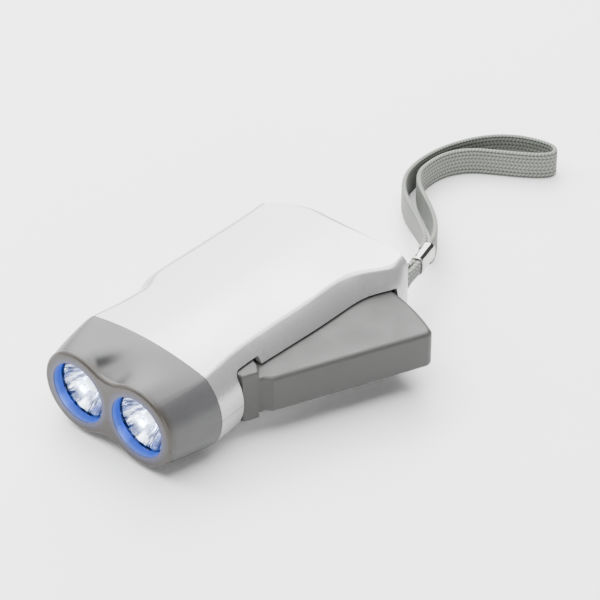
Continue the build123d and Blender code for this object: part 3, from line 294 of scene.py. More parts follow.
def silverPaint():
    # satin silver: fine flake in the colour, handling haze in the gloss, slight orange peel with a share
    # of grain
    finish = housingFinish
    paint = Paint("silverPaint", finish["colour"], finish["roughness"], finish["metal"])
    flake = paint.noise(finish["flakeScale"], 1.0)
    paint.colour(paint.mottled(flake, finish["colour"], finish["darker"], finish["lighter"]))
    haze = paint.noise(finish["hazeScale"], 3.0, 0.6)
    glossy, dull = finish["roughness"] - finish["glossier"], finish["roughness"] + finish["duller"]
    paint.rough(paint.varied(haze, glossy, dull))
    peel = paint.noise(finish["peelScale"], 2.0)
    grain = paint.sum(paint.noise(finish["grainScale"], 1.0), finish["grainShare"], "MULTIPLY")
    paint.bump(paint.sum(peel, grain), finish["bump"])
    return paint.material


# spans are in mm: behind the rim for the fades along the head, beyond the hole for the bore's edge
headFinish = {"colour": (0.058, 0.058, 0.060), "rim": (0.040, 0.0355, 0.031), "roughness": 0.36,
              "shine": 0.36,
              "cloudScale": 55, "cloudSpan": (0.35, 0.65), "darker": 0.94, "lighter": 1.06,
              "rimFade": (0.6, 3.2),
              "glossScale": 90, "glossSpan": (0.32, 0.42), "grainScale": 900, "bump": 0.06}
# painted light of the lamps on the head: the bores' deep blue colour and glow, a halo round the holes and a
# brighter patch
headPaintedLight = {"lit": (0.012, 0.075, 0.90), "edge": (0.10, 0.22, 0.95), "halo": (0.13, 0.21, 0.80),
             "bore": (0.01, 0.03, 0.16), "litPower": 0.72, "haloPower": 0.26, "haloFall": 2.0, "hole": 10.2,
             "haloReach": (0.0, 3.0), "boreEdge": (0.1, 0.3), "behindEdge": (0.15, 0.7),
             "nearFront": (1.0, 2.6),
             "inward": (0.3, 2.4), "patchPlace": (9.75, 10.35), "patchGain": 2.2, "diagonal": 0.7071}
# a painted dark reflection on the head's top: where it runs, how it fades and how dark it is
paintedDarkReflection = {"start": (-6.8, -50.0), "end": (-0.5, -41.0), "sideFade": (0.3, 3.2), "startFade": (-0.5, 1.5),
          "fullUntil": 0.25, "height": (20, 23), "shine": 0.08, "shade": 0.35}


def lampPlaces(paint):
    # across and up from the nearer lamp's axis, and the distance from that axis
    low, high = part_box("right_window")
    lampX, lampZ = (low.x + high.x) / 2, (low.z + high.z) / 2
    x = paint.axis("X")
    across = paint.sum(x, paint.sum(paint.sum(x, 0.0, "SIGN"), lampX, "MULTIPLY"), "SUBTRACT")
    up = paint.sum(paint.axis("Z"), lampZ, "SUBTRACT")
    return across, up, paint.length(across, up)


def withPaintedDarkReflection(paint, colour):
    # painted dark reflection: a soft dark patch painted in the valley behind the rim, full on a short line
    # above a height, fading to both sides and both ends, and less shiny there
    start, end = (Vector((*paintedDarkReflection[key], 0)) * mm for key in ("start", "end"))
    reach = (end - start).length
    onward = (end - start) / reach
    x = paint.sum(paint.axis("X"), start.x, "SUBTRACT")
    y = paint.sum(paint.axis("Y"), start.y, "SUBTRACT")
    along = paint.sum(paint.sum(x, onward.x, "MULTIPLY"), paint.sum(y, onward.y, "MULTIPLY"))
    aside = paint.sum(paint.sum(x, onward.y, "MULTIPLY"), paint.sum(y, onward.x, "MULTIPLY"), "SUBTRACT")
    sideFade = paint.fade(paint.sum(aside, 0.0, "ABSOLUTE"), 0.0, paintedDarkReflection["sideFade"], 1.0, 0.0)
    startFade = paint.fade(along, 0.0, paintedDarkReflection["startFade"], 0.0, 1.0)
    endFade = paint.remap(along, paintedDarkReflection["fullUntil"] * reach, reach, 1.0, 0.0, True)
    low, high = paintedDarkReflection["height"]
    above = paint.remap(paint.axis("Z"), low * mm, high * mm, 0.0, 1.0)
    share = paint.sum(paint.sum(sideFade, startFade, "MULTIPLY"),
                      paint.sum(endFade, above, "MULTIPLY"), "MULTIPLY")
    shine = paint.remap(share, 0.0, 1.0, headFinish["shine"], paintedDarkReflection["shine"])
    paint.link(shine, paint.shader.inputs["Specular IOR Level"])
    return paint.blend(share, colour, tinted(headFinish["colour"], paintedDarkReflection["shade"]))


def headPlastic():
    # grey satin plastic, browner at the rim, with painted blue light inside the two window bores and a little
    # round them: a deep blue colour and a glow given off by the plastic
    finish, light = headFinish, headPaintedLight
    paint = Paint("headPlastic", finish["colour"], finish["roughness"])
    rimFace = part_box("head_bezel")[0].y
    along = paint.axis("Y")
    towardRim = paint.fade(along, rimFace, finish["rimFade"], 1.0, 0.0)
    cloudy = paint.noise(finish["cloudScale"], 3.0)
    grey = paint.mottled(cloudy, finish["colour"], finish["darker"], finish["lighter"], finish["cloudSpan"])
    # the grey, with its painted dark reflection, blends into the rim colour
    body = paint.blend(towardRim, withPaintedDarkReflection(paint, grey), finish["rim"])
    across, up, radius = lampPlaces(paint)
    hole = light["hole"] * mm
    edgeStart, edgeEnd = (hole + place * mm for place in light["boreEdge"])
    insideBore = paint.remap(radius, edgeStart, edgeEnd, 1.0, 0.0)
    bore = paint.sum(insideBore, paint.fade(along, rimFace, light["behindEdge"], 0.0, 1.0), "MULTIPLY")
    # painted light: round the hole the rim glows less and less with distance
    spread = paint.fade(radius, hole, light["haloReach"], 1.0, 0.0)
    nearFront = paint.fade(along, rimFace, light["nearFront"], 1.0, 0.0)
    halo = paint.sum(paint.sum(spread, light["haloFall"], "POWER"), nearFront, "MULTIPLY")
    # a painted pool of light: a brighter patch low on the wall, where the lamp's light lands
    slanted = paint.sum(paint.sum(across, up), -light["diagonal"], "MULTIPLY")
    patch = paint.fade(slanted, 0.0, light["patchPlace"], 1.0, light["patchGain"])
    # painted blue light: inside the bores the base colour turns deep blue
    paint.colour(paint.blend(bore, body, light["bore"]))
    # the painted glow: blue on the bore's wall, paler near its edge, and the halo on the rim round it
    inward = paint.fade(along, rimFace, light["inward"], 0.0, 1.0)
    wallColour = paint.blend(inward, light["edge"], light["lit"])
    wallGlow = paint.sum(paint.sum(bore, light["litPower"], "MULTIPLY"), patch, "MULTIPLY")
    rimGlow = paint.sum(paint.sum(halo, light["haloPower"], "MULTIPLY"),
                        paint.sum(1.0, bore, "SUBTRACT"), "MULTIPLY")
    paint.glow(paint.blend(bore, light["halo"], wallColour), paint.sum(wallGlow, rimGlow))
    paint.rough(paint.varied(paint.noise(finish["glossScale"], 2.0), *finish["glossSpan"]))
    paint.bump(paint.noise(finish["grainScale"], 2.0), finish["bump"])
    return paint.material


leverFinish = {"colour": (0.044, 0.044, 0.0425), "roughness": 0.42, "shine": 0.3, "cloudScale": 70,
               "darker": 0.95,
               "lighter": 1.06, "glossScale": 140, "glossSpan": (0.38, 0.49), "grainScale": 1400, "bump": 0.1}


def leverPlastic():
    # mid grey satin plastic with a fine spark-eroded texture
    finish = leverFinish
    paint = Paint("leverPlastic", finish["colour"], finish["roughness"])
    cloudy = paint.noise(finish["cloudScale"], 3.0)
    paint.colour(paint.mottled(cloudy, finish["colour"], finish["darker"], finish["lighter"]))
    paint.rough(paint.varied(paint.noise(finish["glossScale"], 2.0), *finish["glossSpan"]))
    paint.bump(paint.noise(finish["grainScale"], 2.0), finish["bump"])
    paint.shader.inputs["Specular IOR Level"].default_value = finish["shine"]
    return paint.material


# finishes of the lamps
# the window's painted glare: its colour, a wide glow and a small hot spot
windowFinish = {"colour": (0.96, 0.98, 1.0), "roughness": 0.02, "bend": 1.2, "light": (0.68, 0.80, 1.0),
                "bloom": 1.5, "bloomReach": (0.0, 7.0), "bloomFall": 3.0, "spot": 14.0,
                "spotReach": (0.5, 2.3),
                "spotFall": 2.0, "spotPlace": (-1.4, -1.2), "rippleScale": 120, "bump": 0.02}


def clearWindow():
    # thin clear moulding with a painted glare given off by the window itself: a wide soft glow and a small
    # hot spot, both falling off from the glare's place
    finish = windowFinish
    paint = Paint("clearWindow", finish["colour"], finish["roughness"])
    paint.shader.inputs["Transmission Weight"].default_value = 1.0
    paint.shader.inputs["IOR"].default_value = finish["bend"]
    across, up = lampPlaces(paint)[:2]
    x = paint.sum(across, finish["spotPlace"][0] * mm, "SUBTRACT")
    z = paint.sum(up, finish["spotPlace"][1] * mm, "SUBTRACT")
    away = paint.length(x, z)
    spread = paint.fade(away, 0.0, finish["bloomReach"], 1.0, 0.0)
    spot = paint.fade(away, 0.0, finish["spotReach"], 1.0, 0.0)
    bloom = paint.sum(paint.sum(spread, finish["bloomFall"], "POWER"), finish["bloom"], "MULTIPLY")
    hot = paint.sum(paint.sum(spot, finish["spotFall"], "POWER"), finish["spot"], "MULTIPLY")
    paint.glow(finish["light"], paint.sum(bloom, hot))
    paint.bump(paint.noise(finish["rippleScale"], 1.0), finish["bump"])
    return paint.material


bowlFinish = {"colour": (0.75, 0.8, 0.9), "roughness": 0.1, "detail": 3.0, "coarse": 0.65, "turnScale": 5.0,
              "runScale": 260.0, "blueFrom": 2.0, "blueTo": 10.0, "paintedStreakSpan": (0.38, 0.62),
              "dark": (0.05, 0.06, 0.10), "light": (0.85, 0.88, 0.95), "glossSpan": (0.22, 0.06),
              "inner": (0.85, 0.92, 1.0), "outer": (0.10, 0.20, 0.80), "power": 3.0, "fallFrom": 1.12,
              "fall": 1.5,
              "sparkle": (0.25, 1.3), "bump": 0.5, "bumpDepth": 0.0004}


def platedBowl():
    # vacuum-plated plastic: painted reflection streaks, dark and light in the colour, from noise over the
    # turn and the distance, and a painted glow, white near the lamp and blue towards the rim, with light that
    # falls by a power of the distance
    finish = bowlFinish
    paint = Paint("platedBowl", finish["colour"], finish["roughness"], 1.0)
    across, up, radius = lampPlaces(paint)
    turn = paint.sum(across, up, "ARCTAN2")
    paintedStreaks = paint.node("ShaderNodeTexNoise", Scale=1.0, Detail=finish["detail"], Roughness=finish["coarse"])
    place = paint.node("ShaderNodeCombineXYZ")
    paint.link(paint.sum(turn, finish["turnScale"], "MULTIPLY"), place.inputs["X"])
    paint.link(paint.sum(radius, finish["runScale"], "MULTIPLY"), place.inputs["Y"])
    paint.link(place.outputs["Vector"], paintedStreaks.inputs["Vector"])
    streak = paintedStreaks.outputs["Fac"]
    outward = paint.remap(radius, finish["blueFrom"] * mm, finish["blueTo"] * mm, 0.0, 1.0)
    contrast = paint.remap(streak, *finish["paintedStreakSpan"], 0.0, 1.0, True)
    # painted reflection streaks: dark and light colour from the streak noise
    paint.colour(paint.blend(contrast, finish["dark"], finish["light"]))
    paint.rough(paint.varied(streak, *finish["glossSpan"]))
    # the painted glow: strongest near the lamp, with painted glints where the streaks are light
    fall = paint.sum(paint.sum(finish["fallFrom"], outward, "SUBTRACT"), finish["fall"], "POWER")
    sparkle = paint.remap(contrast, 0.0, 1.0, *finish["sparkle"])
    strength = paint.sum(paint.sum(fall, sparkle, "MULTIPLY"), finish["power"], "MULTIPLY")
    paint.glow(paint.blend(outward, finish["inner"], finish["outer"]), strength)
    paint.bump(streak, finish["bump"], finish["bumpDepth"])
    return paint.material


ledFinish = {"colour": (0.8, 0.9, 1.0), "roughness": 0.1, "light": (0.9, 0.95, 1.0), "power": 2.2,
             "coolBehind": (0, 5), "coolest": 0.15}


def litLamp():
    # the lamp body: water-clear, glowing blue-white, hottest at the dome
    finish = ledFinish
    paint = Paint("litLamp", finish["colour"], finish["roughness"])
    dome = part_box("right_led")[0].y
    heat = paint.fade(paint.axis("Y"), dome, finish["coolBehind"], 1.0, finish["coolest"])
    paint.glow(finish["light"], paint.sum(heat, finish["power"], "MULTIPLY"))
    return paint.material


# finishes of the works inside
steelFinish = {"lineScale": 900, "detail": 3.0, "coarse": 0.6, "glossier": 0.1, "duller": 0.12,
               "darker": 0.85,
               "lighter": 1.1, "bump": 0.1, "bumpDepth": 0.00003}


def drawnSteel(name, colour, roughness, stretch):
    # drawn or turned steel: noise stretched into fine lines along its length
    finish = steelFinish
    paint = Paint(name, colour, roughness, 1.0)
    line = paint.noise(finish["lineScale"], finish["detail"], finish["coarse"], stretch)
    paint.rough(paint.varied(line, roughness - finish["glossier"], roughness + finish["duller"]))
    paint.colour(paint.mottled(line, colour, finish["darker"], finish["lighter"]))
    paint.bump(line, finish["bump"], finish["bumpDepth"])
    return paint.material


gearFinish = {"roughness": 0.42, "cloudScale": 150, "darker": 0.94, "lighter": 1.03, "wax": 0.1,
              "waxDepth": (0.001, 0.001, 0.001), "grainScale": 1100, "bump": 0.1}


def mouldedGear(name, colour):
    # moulded plastic, slightly waxy: a share of the light comes back from a little below the surface
    finish = gearFinish
    paint = Paint(name, colour, finish["roughness"])
    cloudy = paint.noise(finish["cloudScale"], 2.0)
    paint.colour(paint.mottled(cloudy, colour, finish["darker"], finish["lighter"]))
    paint.shader.inputs["Subsurface Weight"].default_value = finish["wax"]
    paint.shader.inputs["Subsurface Radius"].default_value = finish["waxDepth"]
    paint.bump(paint.noise(finish["grainScale"], 2.0), finish["bump"])
    return paint.material


bandFinish = {"lightFrom": 0.4, "bump": 0.5, "depthShare": 0.2}


def banded(name, dark, light, axisLetter, pitch, roughness, metallic):
    # even bands, as stacked sheet or close turns of wire have: the sine of the place along the axis over
    # the pitch
    finish = bandFinish
    paint = Paint(name, light, roughness, metallic)
    phase = paint.sum(paint.sum(paint.axis(axisLetter), 2 * math.pi / pitch, "MULTIPLY"), 0.0, "SINE")
    band = paint.remap(phase, -1.0, finish["lightFrom"], 0.0, 1.0, True)
    paint.colour(paint.blend(band, dark, light))
    paint.bump(band, finish["bump"], pitch * finish["depthShare"])
    return paint.material


boardFinish = {"colour": (0.03, 0.16, 0.07), "track": (0.06, 0.28, 0.12), "roughness": 0.35,
               "cellScale": 420.0,
               "trackSpan": (0.3, 0.42), "bump": 0.3, "bumpDepth": 0.00004, "coat": 0.4, "coatRoughness": 0.1}


def laminate():
    # green board with paler square cells, far enough from each cell's middle
    finish = boardFinish
    paint = Paint("laminate", finish["colour"], finish["roughness"])
    cells = paint.node("ShaderNodeTexVoronoi", Scale=finish["cellScale"], distance="CHEBYCHEV")
    paint.link(paint.place, cells.inputs["Vector"])
    track = paint.remap(cells.outputs["Distance"], *finish["trackSpan"], 0.0, 1.0)
    paint.colour(paint.blend(track, finish["colour"], finish["track"]))
    paint.bump(track, finish["bump"], finish["bumpDepth"])
    paint.coat(finish["coat"], finish["coatRoughness"])
    return paint.material


sleeveFinish = {"roughness": 0.3, "markEdge": 0.05, "grainScale": 700, "glossSpan": (0.24, 0.36),
                "bump": 0.05,
                "capacitorMark": 1.0, "diodeMark": (1.8, 1.3)}


def sleeve(name, colour, mark, axisLetter, low, high):
    # a moulded or shrunk body with one paler polarity band between two places on an axis
    finish = sleeveFinish
    paint = Paint(name, colour, finish["roughness"])
    edge = finish["markEdge"] * mm
    above = paint.remap(paint.axis(axisLetter), low - edge, low, 0.0, 1.0)
    below = paint.remap(paint.axis(axisLetter), high, high + edge, 1.0, 0.0)
    grain = paint.noise(finish["grainScale"], 2.0)
    paint.colour(paint.blend(paint.sum(above, below, "MULTIPLY"), colour, mark))
    paint.rough(paint.varied(grain, *finish["glossSpan"]))
    paint.bump(grain, finish["bump"])
    return paint.material


jacketFinish = {"colour": (0.45, 0.04, 0.03), "dark": (0.38, 0.03, 0.025), "light": (0.52, 0.05, 0.04),
                "roughness": 0.45, "grainScale": 500, "bump": 0.1}


def softJacket():
    # wire insulation: dark where the grain is low, light where it is high
    finish = jacketFinish
    paint = Paint("softJacket", finish["colour"], finish["roughness"])
    grain = paint.noise(finish["grainScale"], 2.0)
    paint.colour(paint.ramp(grain, noiseSpan, finish["dark"], finish["light"]))
    paint.bump(grain, finish["bump"])
    return paint.material


# finishes of the ferrule and the webbing
chromeFinish = {"colour": (0.42, 0.41, 0.40), "roughness": 0.07, "scuffScale": 260, "detail": 4.0,
                "coarse": 0.65,
                "scuffSpan": (0.35, 0.75), "glossSpan": (0.04, 0.16), "dentScale": 130, "bump": 0.05}


def polishedChrome():
    # bright plating, duller where it is scuffed, over slightly uneven metal
    finish = chromeFinish
    paint = Paint("polishedChrome", finish["colour"], finish["roughness"], 1.0)
    scuff = paint.noise(finish["scuffScale"], finish["detail"], finish["coarse"])
    paint.rough(paint.remap(scuff, *finish["scuffSpan"], *finish["glossSpan"]))
    paint.bump(paint.noise(finish["dentScale"], 1.0), finish["bump"])
    return paint.material


braidFinish = {"colour": (0.20, 0.215, 0.19), "shade": (0.022, 0.025, 0.021), "roughness": 0.75,
               "depthSpan": (0.1, 0.9), "fibreScale": 5200, "fibreTone": (0.86, 1.08), "wideScale": 60,
               "wideTone": (0.95, 1.05), "bump": 0.35, "bumpDepth": 0.00004, "sheen": 0.1,
               "sheenRoughness": 0.5}


def braidFabric():
    # grey-green braid: painted shade between the rows and along the twist of the piped edges (attribute
    # depth), times the tones of fine fibre and of wide noise
    finish = braidFinish
    paint = Paint("braidFabric", finish["colour"], finish["roughness"])
    depth = paint.node("ShaderNodeAttribute", attribute_name="depth").outputs["Fac"]
    fibre = paint.noise(finish["fibreScale"], 2.0, 0.6)
    wide = paint.noise(finish["wideScale"], 2.0)
    raised = paint.remap(depth, *finish["depthSpan"], 0.0, 1.0)
    # painted shade: the colour drops to the shade where the depth is low
    shaded = paint.blend(raised, finish["shade"], finish["colour"])
    tone = paint.sum(paint.varied(fibre, *finish["fibreTone"]),
                     paint.varied(wide, *finish["wideTone"]), "MULTIPLY")
    toned = paint.node("ShaderNodeVectorMath", operation="SCALE")
    paint.link(shaded, toned.inputs[0])
    paint.link(tone, toned.inputs["Scale"])
    paint.colour(toned.outputs["Vector"])
    paint.bump(fibre, finish["bump"], finish["bumpDepth"])
    paint.shader.inputs["Sheen Weight"].default_value = finish["sheen"]
    paint.shader.inputs["Sheen Roughness"].default_value = finish["sheenRoughness"]
    return paint.material


def finishes():
    # one material for each slot of the record
    capacitorLow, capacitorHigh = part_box("storage_capacitor")
    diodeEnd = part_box("rectifier_diodes")[1].x
    middle = (capacitorLow.x + capacitorHigh.x) / 2
    markHalf = sleeveFinish["capacitorMark"] * mm
    markFrom, markTo = (diodeEnd - place * mm for place in sleeveFinish["diodeMark"])
    return {
        "housing": silverPaint(), "head": headPlastic(), "lever": leverPlastic(),
        "window": clearWindow(), "reflector": platedBowl(), "led": litLamp(),
        "steel": drawnSteel("drawnSteel", (0.55, 0.55, 0.56), 0.3, (1, 1, 0.05)),
        "spring_steel": drawnSteel("springSteel", (0.36, 0.36, 0.38), 0.35, (0.2, 0.2, 1)),
        "gear_white": mouldedGear("naturalGear", (0.72, 0.72, 0.68)),
        "gear_black": mouldedGear("blackGear", (0.035, 0.035, 0.037)),
        "magnet": mouldedGear("magnetFerrite", (0.07, 0.07, 0.075)),
        "lamination": banded("lamination", (0.2, 0.2, 0.21), (0.5, 0.5, 0.51), "Z", 0.5 * mm, 0.4, 1.0),
        "bobbin": mouldedGear("bobbinPlastic", (0.62, 0.58, 0.44)),
        "copper": banded("copperWire", (0.22, 0.07, 0.025), (0.72, 0.3, 0.12), "X", 0.3 * mm, 0.25, 0.9),
        "board": laminate(),
        "capacitor": sleeve("capacitorSleeve", (0.02, 0.025, 0.05), (0.4, 0.42, 0.45), "X",
                            middle - markHalf, middle + markHalf),
        "diode": sleeve("diodeBody", (0.02, 0.02, 0.02), (0.5, 0.5, 0.5), "X", markFrom, markTo),
        "wire": softJacket(), "chrome": polishedChrome(), "webbing": braidFabric(),
    }


slotFinish = finishes()
nodeSlot = {entry["node"]: entry["material_slot"] for entry in frame["record"]["subparts"]}
for name, node in nodes.items():
    node.data.materials.clear()
    node.data.materials.append(slotFinish[nodeSlot[name]])
print("finishes given to", len(nodeSlot), "nodes")

# webbing: wrist strap, its loop at the bar and the ferrule, with sizes in mm
strap = {"width": 10.0, "thickness": 1.3, "gathered": 4.8, "step": 0.22, "widthSmoothing": 3,
         "rows": 6, "yarnPitch": 1.3, "slant": 0.9, "relief": 0.22, "yarnLift": (0.35, 0.65),
         "yarnDepth": (0.25, 0.75), "groovePower": 3, "pipe": 0.7, "pipeRelief": 0.12,
         "pipeDepth": (0.2, 0.8),
         "twistPitch": 1.1, "twistSlant": 0.45, "faceSteps": 26, "pipeSteps": 7}
# the short loop is drawn tight, so its braid looks coarser
loopWeave = {**strap, "rows": 3, "yarnPitch": 2.2, "relief": 0.28, "step": 0.2}
strapRoute = [
    (17.4, 73.6), (15.9, 78.0), (12.8, 81.3), (6.5, 86.4), (0.5, 90.6), (-6.5, 95.6), (-13.0, 101.8),
    (-17.6, 109.5), (-19.0, 118.5), (-18.0, 128.0), (-14.8, 137.2), (-9.8, 145.2), (-3.0, 150.8),
    (4.5, 153.6), (10.2, 154.2), (13.0, 151.6), (11.2, 148.0), (5.5, 143.6), (-2.5, 138.8),
    (-10.2, 133.8), (-14.8, 126.6), (-15.6, 118.0), (-14.2, 111.2), (-9.0, 105.6), (-2.5, 101.0),
    (4.0, 96.2), (10.2, 90.4), (14.6, 84.2), (17.2, 78.9), (18.8, 74.0),
]
# lower and upper edge of the strap at places along Y
strapEdges = [(72.0, 9.8, 14.6), (77.0, 9.3, 14.1), (80.0, 7.6, 14.9), (92.0, 2.6, 12.6), (106.0, 0.0, 10.0),
              (160.0, 0.0, 10.0)]
# the near leg opens out sooner and hangs lower
nearEdges = [(74.0, 9.4, 14.6), (76.5, 6.8, 14.4), (80.0, 4.3, 13.9), (85.0, 3.0, 13.0), (92.0, 1.8, 11.9),
             (106.0, 0.0, 10.0), (160.0, 0.0, 10.0)]


def edgeHeights(y, edges=strapEdges):
    # both edges' heights at y, straight between the places
    places = np.array(edges)
    return np.interp(y, places[:, 0], places[:, 1]), np.interp(y, places[:, 0], places[:, 2])


def webbing(name, line, widths, upward, pattern):
    # a woven band whose section is a flat loop: two faces and two piped edges. On a face at height v
    # across the band and distance s along it, the surface stands out by relief x |cos| of the slanting
    # yarns, whose slant turns over from row to row, and sinks between rows; line in metres, widths in mm
    along, points = evenly(line, pattern["step"] * mm)
    run = np.concatenate([[0], np.cumsum(np.linalg.norm(np.diff(line, axis=0), axis=1))])
    width = np.interp(along, run, widths)
    forward = tangents(points)
    up = np.stack([np.interp(along, run, upward[:, k]) for k in range(3)], axis=1)
    up -= forward * np.sum(up * forward, axis=1)[:, None]
    up /= np.linalg.norm(up, axis=1)[:, None]
    side = np.cross(forward, up)
    faceSteps, pipeSteps = pattern["faceSteps"], pattern["pipeSteps"]
    across = np.linspace(-1, 1, faceSteps)
    turn = np.linspace(0, math.pi, pipeSteps + 2)[1:-1]
    pipe, face = pattern["pipe"], np.full(faceSteps, pattern["thickness"] / 2)
    # section places: v across (in mm, from the middle), b outwards, with the band at its full width
    half = pattern["width"] / 2
    flat = half - pipe
    v = np.concatenate([across * flat, flat + pipe * np.sin(turn),
                        -across * flat, -flat - pipe * np.sin(turn)])
    b = np.concatenate([face, pipe * np.cos(turn), -face, -pipe * np.cos(turn)])
    onFace = np.concatenate([np.ones(faceSteps), np.zeros(pipeSteps)] * 2)
    pipeTurn = np.concatenate([np.zeros(faceSteps), turn, np.zeros(faceSteps), math.pi - turn])
    rowPlace = (v + flat) / (2 * flat) * pattern["rows"]
    row = np.clip(np.floor(rowPlace), 0, pattern["rows"] - 1)
    within = rowPlace - row
    lean = np.where(row % 2 == 0, 1.0, -1.0)
    s = along[:, None] / mm / pattern["yarnPitch"]
    yarn = np.abs(np.cos(math.pi * (s + lean[None] * pattern["slant"] * within[None])))
    groove = 1 - np.abs(2 * within - 1) ** pattern["groovePower"]
    leastLift, yarnLift = pattern["yarnLift"]
    leastDepth, yarnDepth = pattern["yarnDepth"]
    leastPipe, pipeDepth = pattern["pipeDepth"]
    lift = pattern["relief"] * (leastLift + yarnLift * yarn) * groove[None]
    twist = np.abs(np.cos(math.pi * (s * pattern["twistPitch"] + v[None] / pipe * pattern["twistSlant"])))
    outward = np.where(onFace[None] > 0, lift, pattern["pipeRelief"] * twist)
    # depth: low where the braid's painted shade falls, between the rows and in the piping's twist
    depth = np.where(onFace[None] > 0, (leastDepth + yarnDepth * yarn) * groove[None],
                     leastPipe + pipeDepth * twist)
    grow = np.where(b == 0, 1, np.sign(b))
    reach = b[None] + np.where(onFace[None] > 0, outward * grow[None], outward * np.cos(pipeTurn)[None])
    tall = v[None] * (width / pattern["width"])[:, None]
    grid = points[:, None] + up[:, None] * (tall * mm)[..., None] + side[:, None] * (reach * mm)[..., None]
    piece = gridMesh(name, grid, capEnds=True)
    attribute = piece.data.attributes.new("depth", "FLOAT", "POINT")
    attribute.data.foreach_set("value", np.broadcast_to(depth, grid.shape[:2]).astype(np.float32).ravel())
    piece.data.materials.append(slotFinish["webbing"])
    return piece, points


def wristStrap():
    # the long loop: stands on its edge, as wide as its edge heights say, gathered where both ends go into the
    # ferrule; the first half of the route is the far leg
    turning = len(strapRoute) // 2
    route = [(x, y, sum(edgeHeights(y, strapEdges if index < turning else nearEdges)) / 2)
             for index, (x, y) in enumerate(strapRoute)]
    line = nurbsLine(route)
    half = len(line) // 2
    far, near = edgeHeights(line[:half, 1] / mm), edgeHeights(line[half:, 1] / mm, nearEdges)
    low, high = np.concatenate([far[0], near[0]]), np.concatenate([far[1], near[1]])
    upward = np.tile((0.0, 0.0, 1.0), (len(line), 1))
    widths = smoothed(high - low, strap["widthSmoothing"])
    piece, points = webbing("wristStrap", line, widths, upward, strap)
    length = float(np.sum(np.linalg.norm(np.diff(points, axis=0), axis=1)))
    print("wrist strap length", round(length, 4), "m")
    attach(piece, "root")
    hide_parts("wrist_strap")
    return piece, points, length


bar = {"gap": 0.15, "z": 14.8, "wrapSteps": 25, "legGap": 0.05, "step": 0.4, "smoothing": 6,
       "widthPlaces": (0, 4, 12, 30), "nearBar": 0.9}
ferrule = {"start": (21.1, 67.1, 12.3), "end": (17.6, 77.6, 11.1), "width": 4.5, "height": 6.2, "wall": 0.5,
           "lip": 0.07, "roundness": 3.0, "reach": 4.6, "edgeShare": 0.6, "around": 64}


def anchorLoop():
    # the short loop: from the ferrule along one side, half a turn round the bar and back along the other,
    # narrowing from the bar to the ferrule
    low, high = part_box("strap_bar")
    barX, barY = (low.x + high.x) / 2 / mm, (low.y + high.y) / 2 / mm
    radius = (high.x - low.x) / 2 / mm + bar["gap"] + strap["thickness"] / 2
    start, end = np.array(ferrule["start"]), np.array(ferrule["end"])
    axis = (end - start) / np.linalg.norm(end - start)
    sideways = np.array([axis[1], -axis[0], 0]) / math.hypot(axis[0], axis[1])
    offset = strap["thickness"] / 2 + bar["legGap"]
    inner = start + axis * ferrule["reach"]
    toBar = np.array([barX, barY, bar["z"]])
    back = toBar - start
    back[2] = 0
    back /= np.linalg.norm(back)
    right = np.array([-back[1], back[0], 0])
    turn = np.linspace(math.pi, 0, bar["wrapSteps"])
    wrap = [toBar + radius * (right * math.cos(a) + back * math.sin(a)) for a in turn]
    legs = [inner - sideways * offset, start - sideways * offset]
    others = [start + sideways * offset, inner + sideways * offset]
    if np.dot(wrap[0] - toBar, sideways) > 0:
        wrap = wrap[::-1]
    line = np.array(legs + wrap + others) * mm
    points = smoothed(evenly(line, bar["step"] * mm)[1], bar["smoothing"])
    away = np.linalg.norm(points[:, :2] - toBar[None, :2] * mm, axis=1) / mm
    full, gathered = strap["width"], strap["gathered"]
    widths = np.interp(away, bar["widthPlaces"], [full, full * bar["nearBar"], gathered, gathered])
    upward = np.tile((0.0, 0.0, 1.0), (len(points), 1))
    piece = webbing("anchorLoop", points, widths, upward, loopWeave)[0]
    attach(piece, "root")
    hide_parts("strap_anchor_loop")
    return piece


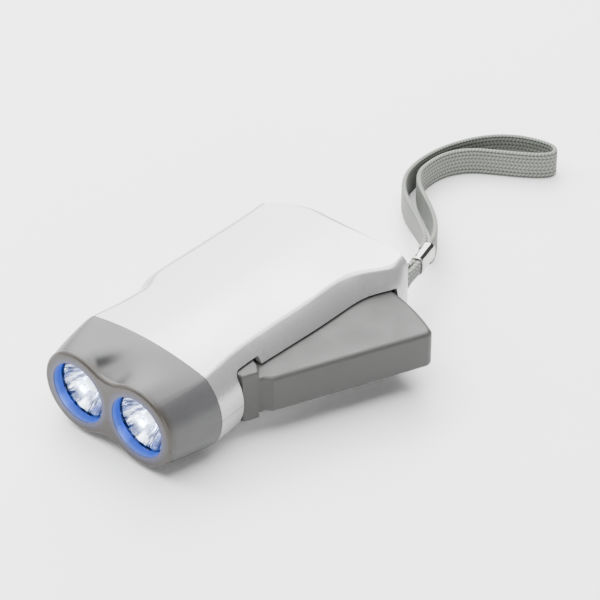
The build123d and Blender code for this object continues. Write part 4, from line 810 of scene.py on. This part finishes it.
def squeezedTube():
    # the ferrule: a superellipse carried along its axis, out over rolled lips and back along the inner wall
    start, end = np.array(ferrule["start"]) * mm, np.array(ferrule["end"]) * mm
    length = np.linalg.norm(end - start)
    axis = (end - start) / length
    sideways = np.array([axis[1], -axis[0], 0]) / math.hypot(axis[0], axis[1])
    upward = np.cross(sideways, axis)
    upward = upward if upward[2] > 0 else -upward
    lip, wall = ferrule["lip"], ferrule["wall"]
    # shares of the length, and how far the wall stands out there, in mm
    outside = [(0.0, -0.05), (0.02, lip), (0.06, lip), (0.1, 0.0), (0.3, -0.04), (0.5, -0.06), (0.7, -0.04),
               (0.9, 0.0), (0.94, lip), (0.98, lip), (1.0, -0.05)]
    inside = [(share, grow - wall) for share, grow in reversed(outside[1:-1])]
    edge = -wall * ferrule["edgeShare"]
    profile = np.array([(0.0, edge)] + outside + [(1.0, edge)] + inside + [(0.0, edge)])
    angle = np.linspace(0, 2 * math.pi, ferrule["around"], endpoint=False)
    power = 2 / ferrule["roundness"]
    flatX = np.sign(np.cos(angle)) * np.abs(np.cos(angle)) ** power
    flatZ = np.sign(np.sin(angle)) * np.abs(np.sin(angle)) ** power
    halfX = (ferrule["width"] / 2 + profile[:, 1]) * mm
    halfZ = (ferrule["height"] / 2 + profile[:, 1]) * mm
    centre = start[None] + axis[None] * (profile[:, :1] * length)
    grid = (centre[:, None] + sideways * (halfX[:, None] * flatX[None])[..., None]
            + upward * (halfZ[:, None] * flatZ[None])[..., None])
    piece = gridMesh("ferruleTube", grid)
    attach(piece, "root")
    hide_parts("strap_ferrule")
    piece.data.materials.append(slotFinish["chrome"])
    return piece


loopPiece = anchorLoop()
ferrulePiece = squeezedTube()
strapPiece, strapLine, strapLength = wristStrap()
print("strap, loop and ferrule made")

# floor and light, in metres and watts
studio = {"floor": (0.9, 0.9, 0.9), "floorHalf": 3.0, "floorRoughness": 0.7, "world": 0.15,
          "aim": (0.0, 0.02, 0.015)}
# each softbox has its place, its size and its power
softboxes = {"overhead": ((-0.25, 0.1, 1.4), (2.0, 2.0), 100),
             "backLeft": ((-0.95, 0.8, 0.85), (1.2, 1.2), 42),
             "leftKey": ((-1.2, -0.5, 0.9), (0.8, 0.8), 15), "rightFill": ((1.3, -0.9, 0.35), (0.6, 0.5), 16)}


def layFloor():
    # a pale square at height zero, half a side to each way from the middle
    half = studio["floorHalf"]
    mesh = bpy.data.meshes.new("floor")
    corners = [(-half, -half, 0), (half, -half, 0), (half, half, 0), (-half, half, 0)]
    mesh.from_pydata(corners, [], [(0, 1, 2, 3)])
    floor = bpy.data.objects.new("floor", mesh)
    bpy.context.scene.collection.objects.link(floor)
    mesh.materials.append(Paint("paleFloor", studio["floor"], studio["floorRoughness"]).material)


def softbox(name, place, size, power):
    # a rectangular light at its place, turned from there to the aim
    data = bpy.data.lights.new(name, "AREA")
    data.shape = "RECTANGLE"
    data.size, data.size_y = size
    data.energy = power
    lamp = bpy.data.objects.new(name, data)
    bpy.context.scene.collection.objects.link(lamp)
    lamp.location = place
    lamp.rotation_euler = (Vector(studio["aim"]) - Vector(place)).to_track_quat("-Z", "Y").to_euler()


def lightStudio():
    # an even white world, weak, and the softboxes
    world = bpy.data.worlds.new("studio")
    bpy.context.scene.world = world
    world.use_nodes = True
    world.node_tree.nodes["Background"].inputs["Color"].default_value = (1, 1, 1, 1)
    world.node_tree.nodes["Background"].inputs["Strength"].default_value = studio["world"]
    for name, (place, size, power) in softboxes.items():
        softbox(name, place, size, power)


layFloor()
lightStudio()
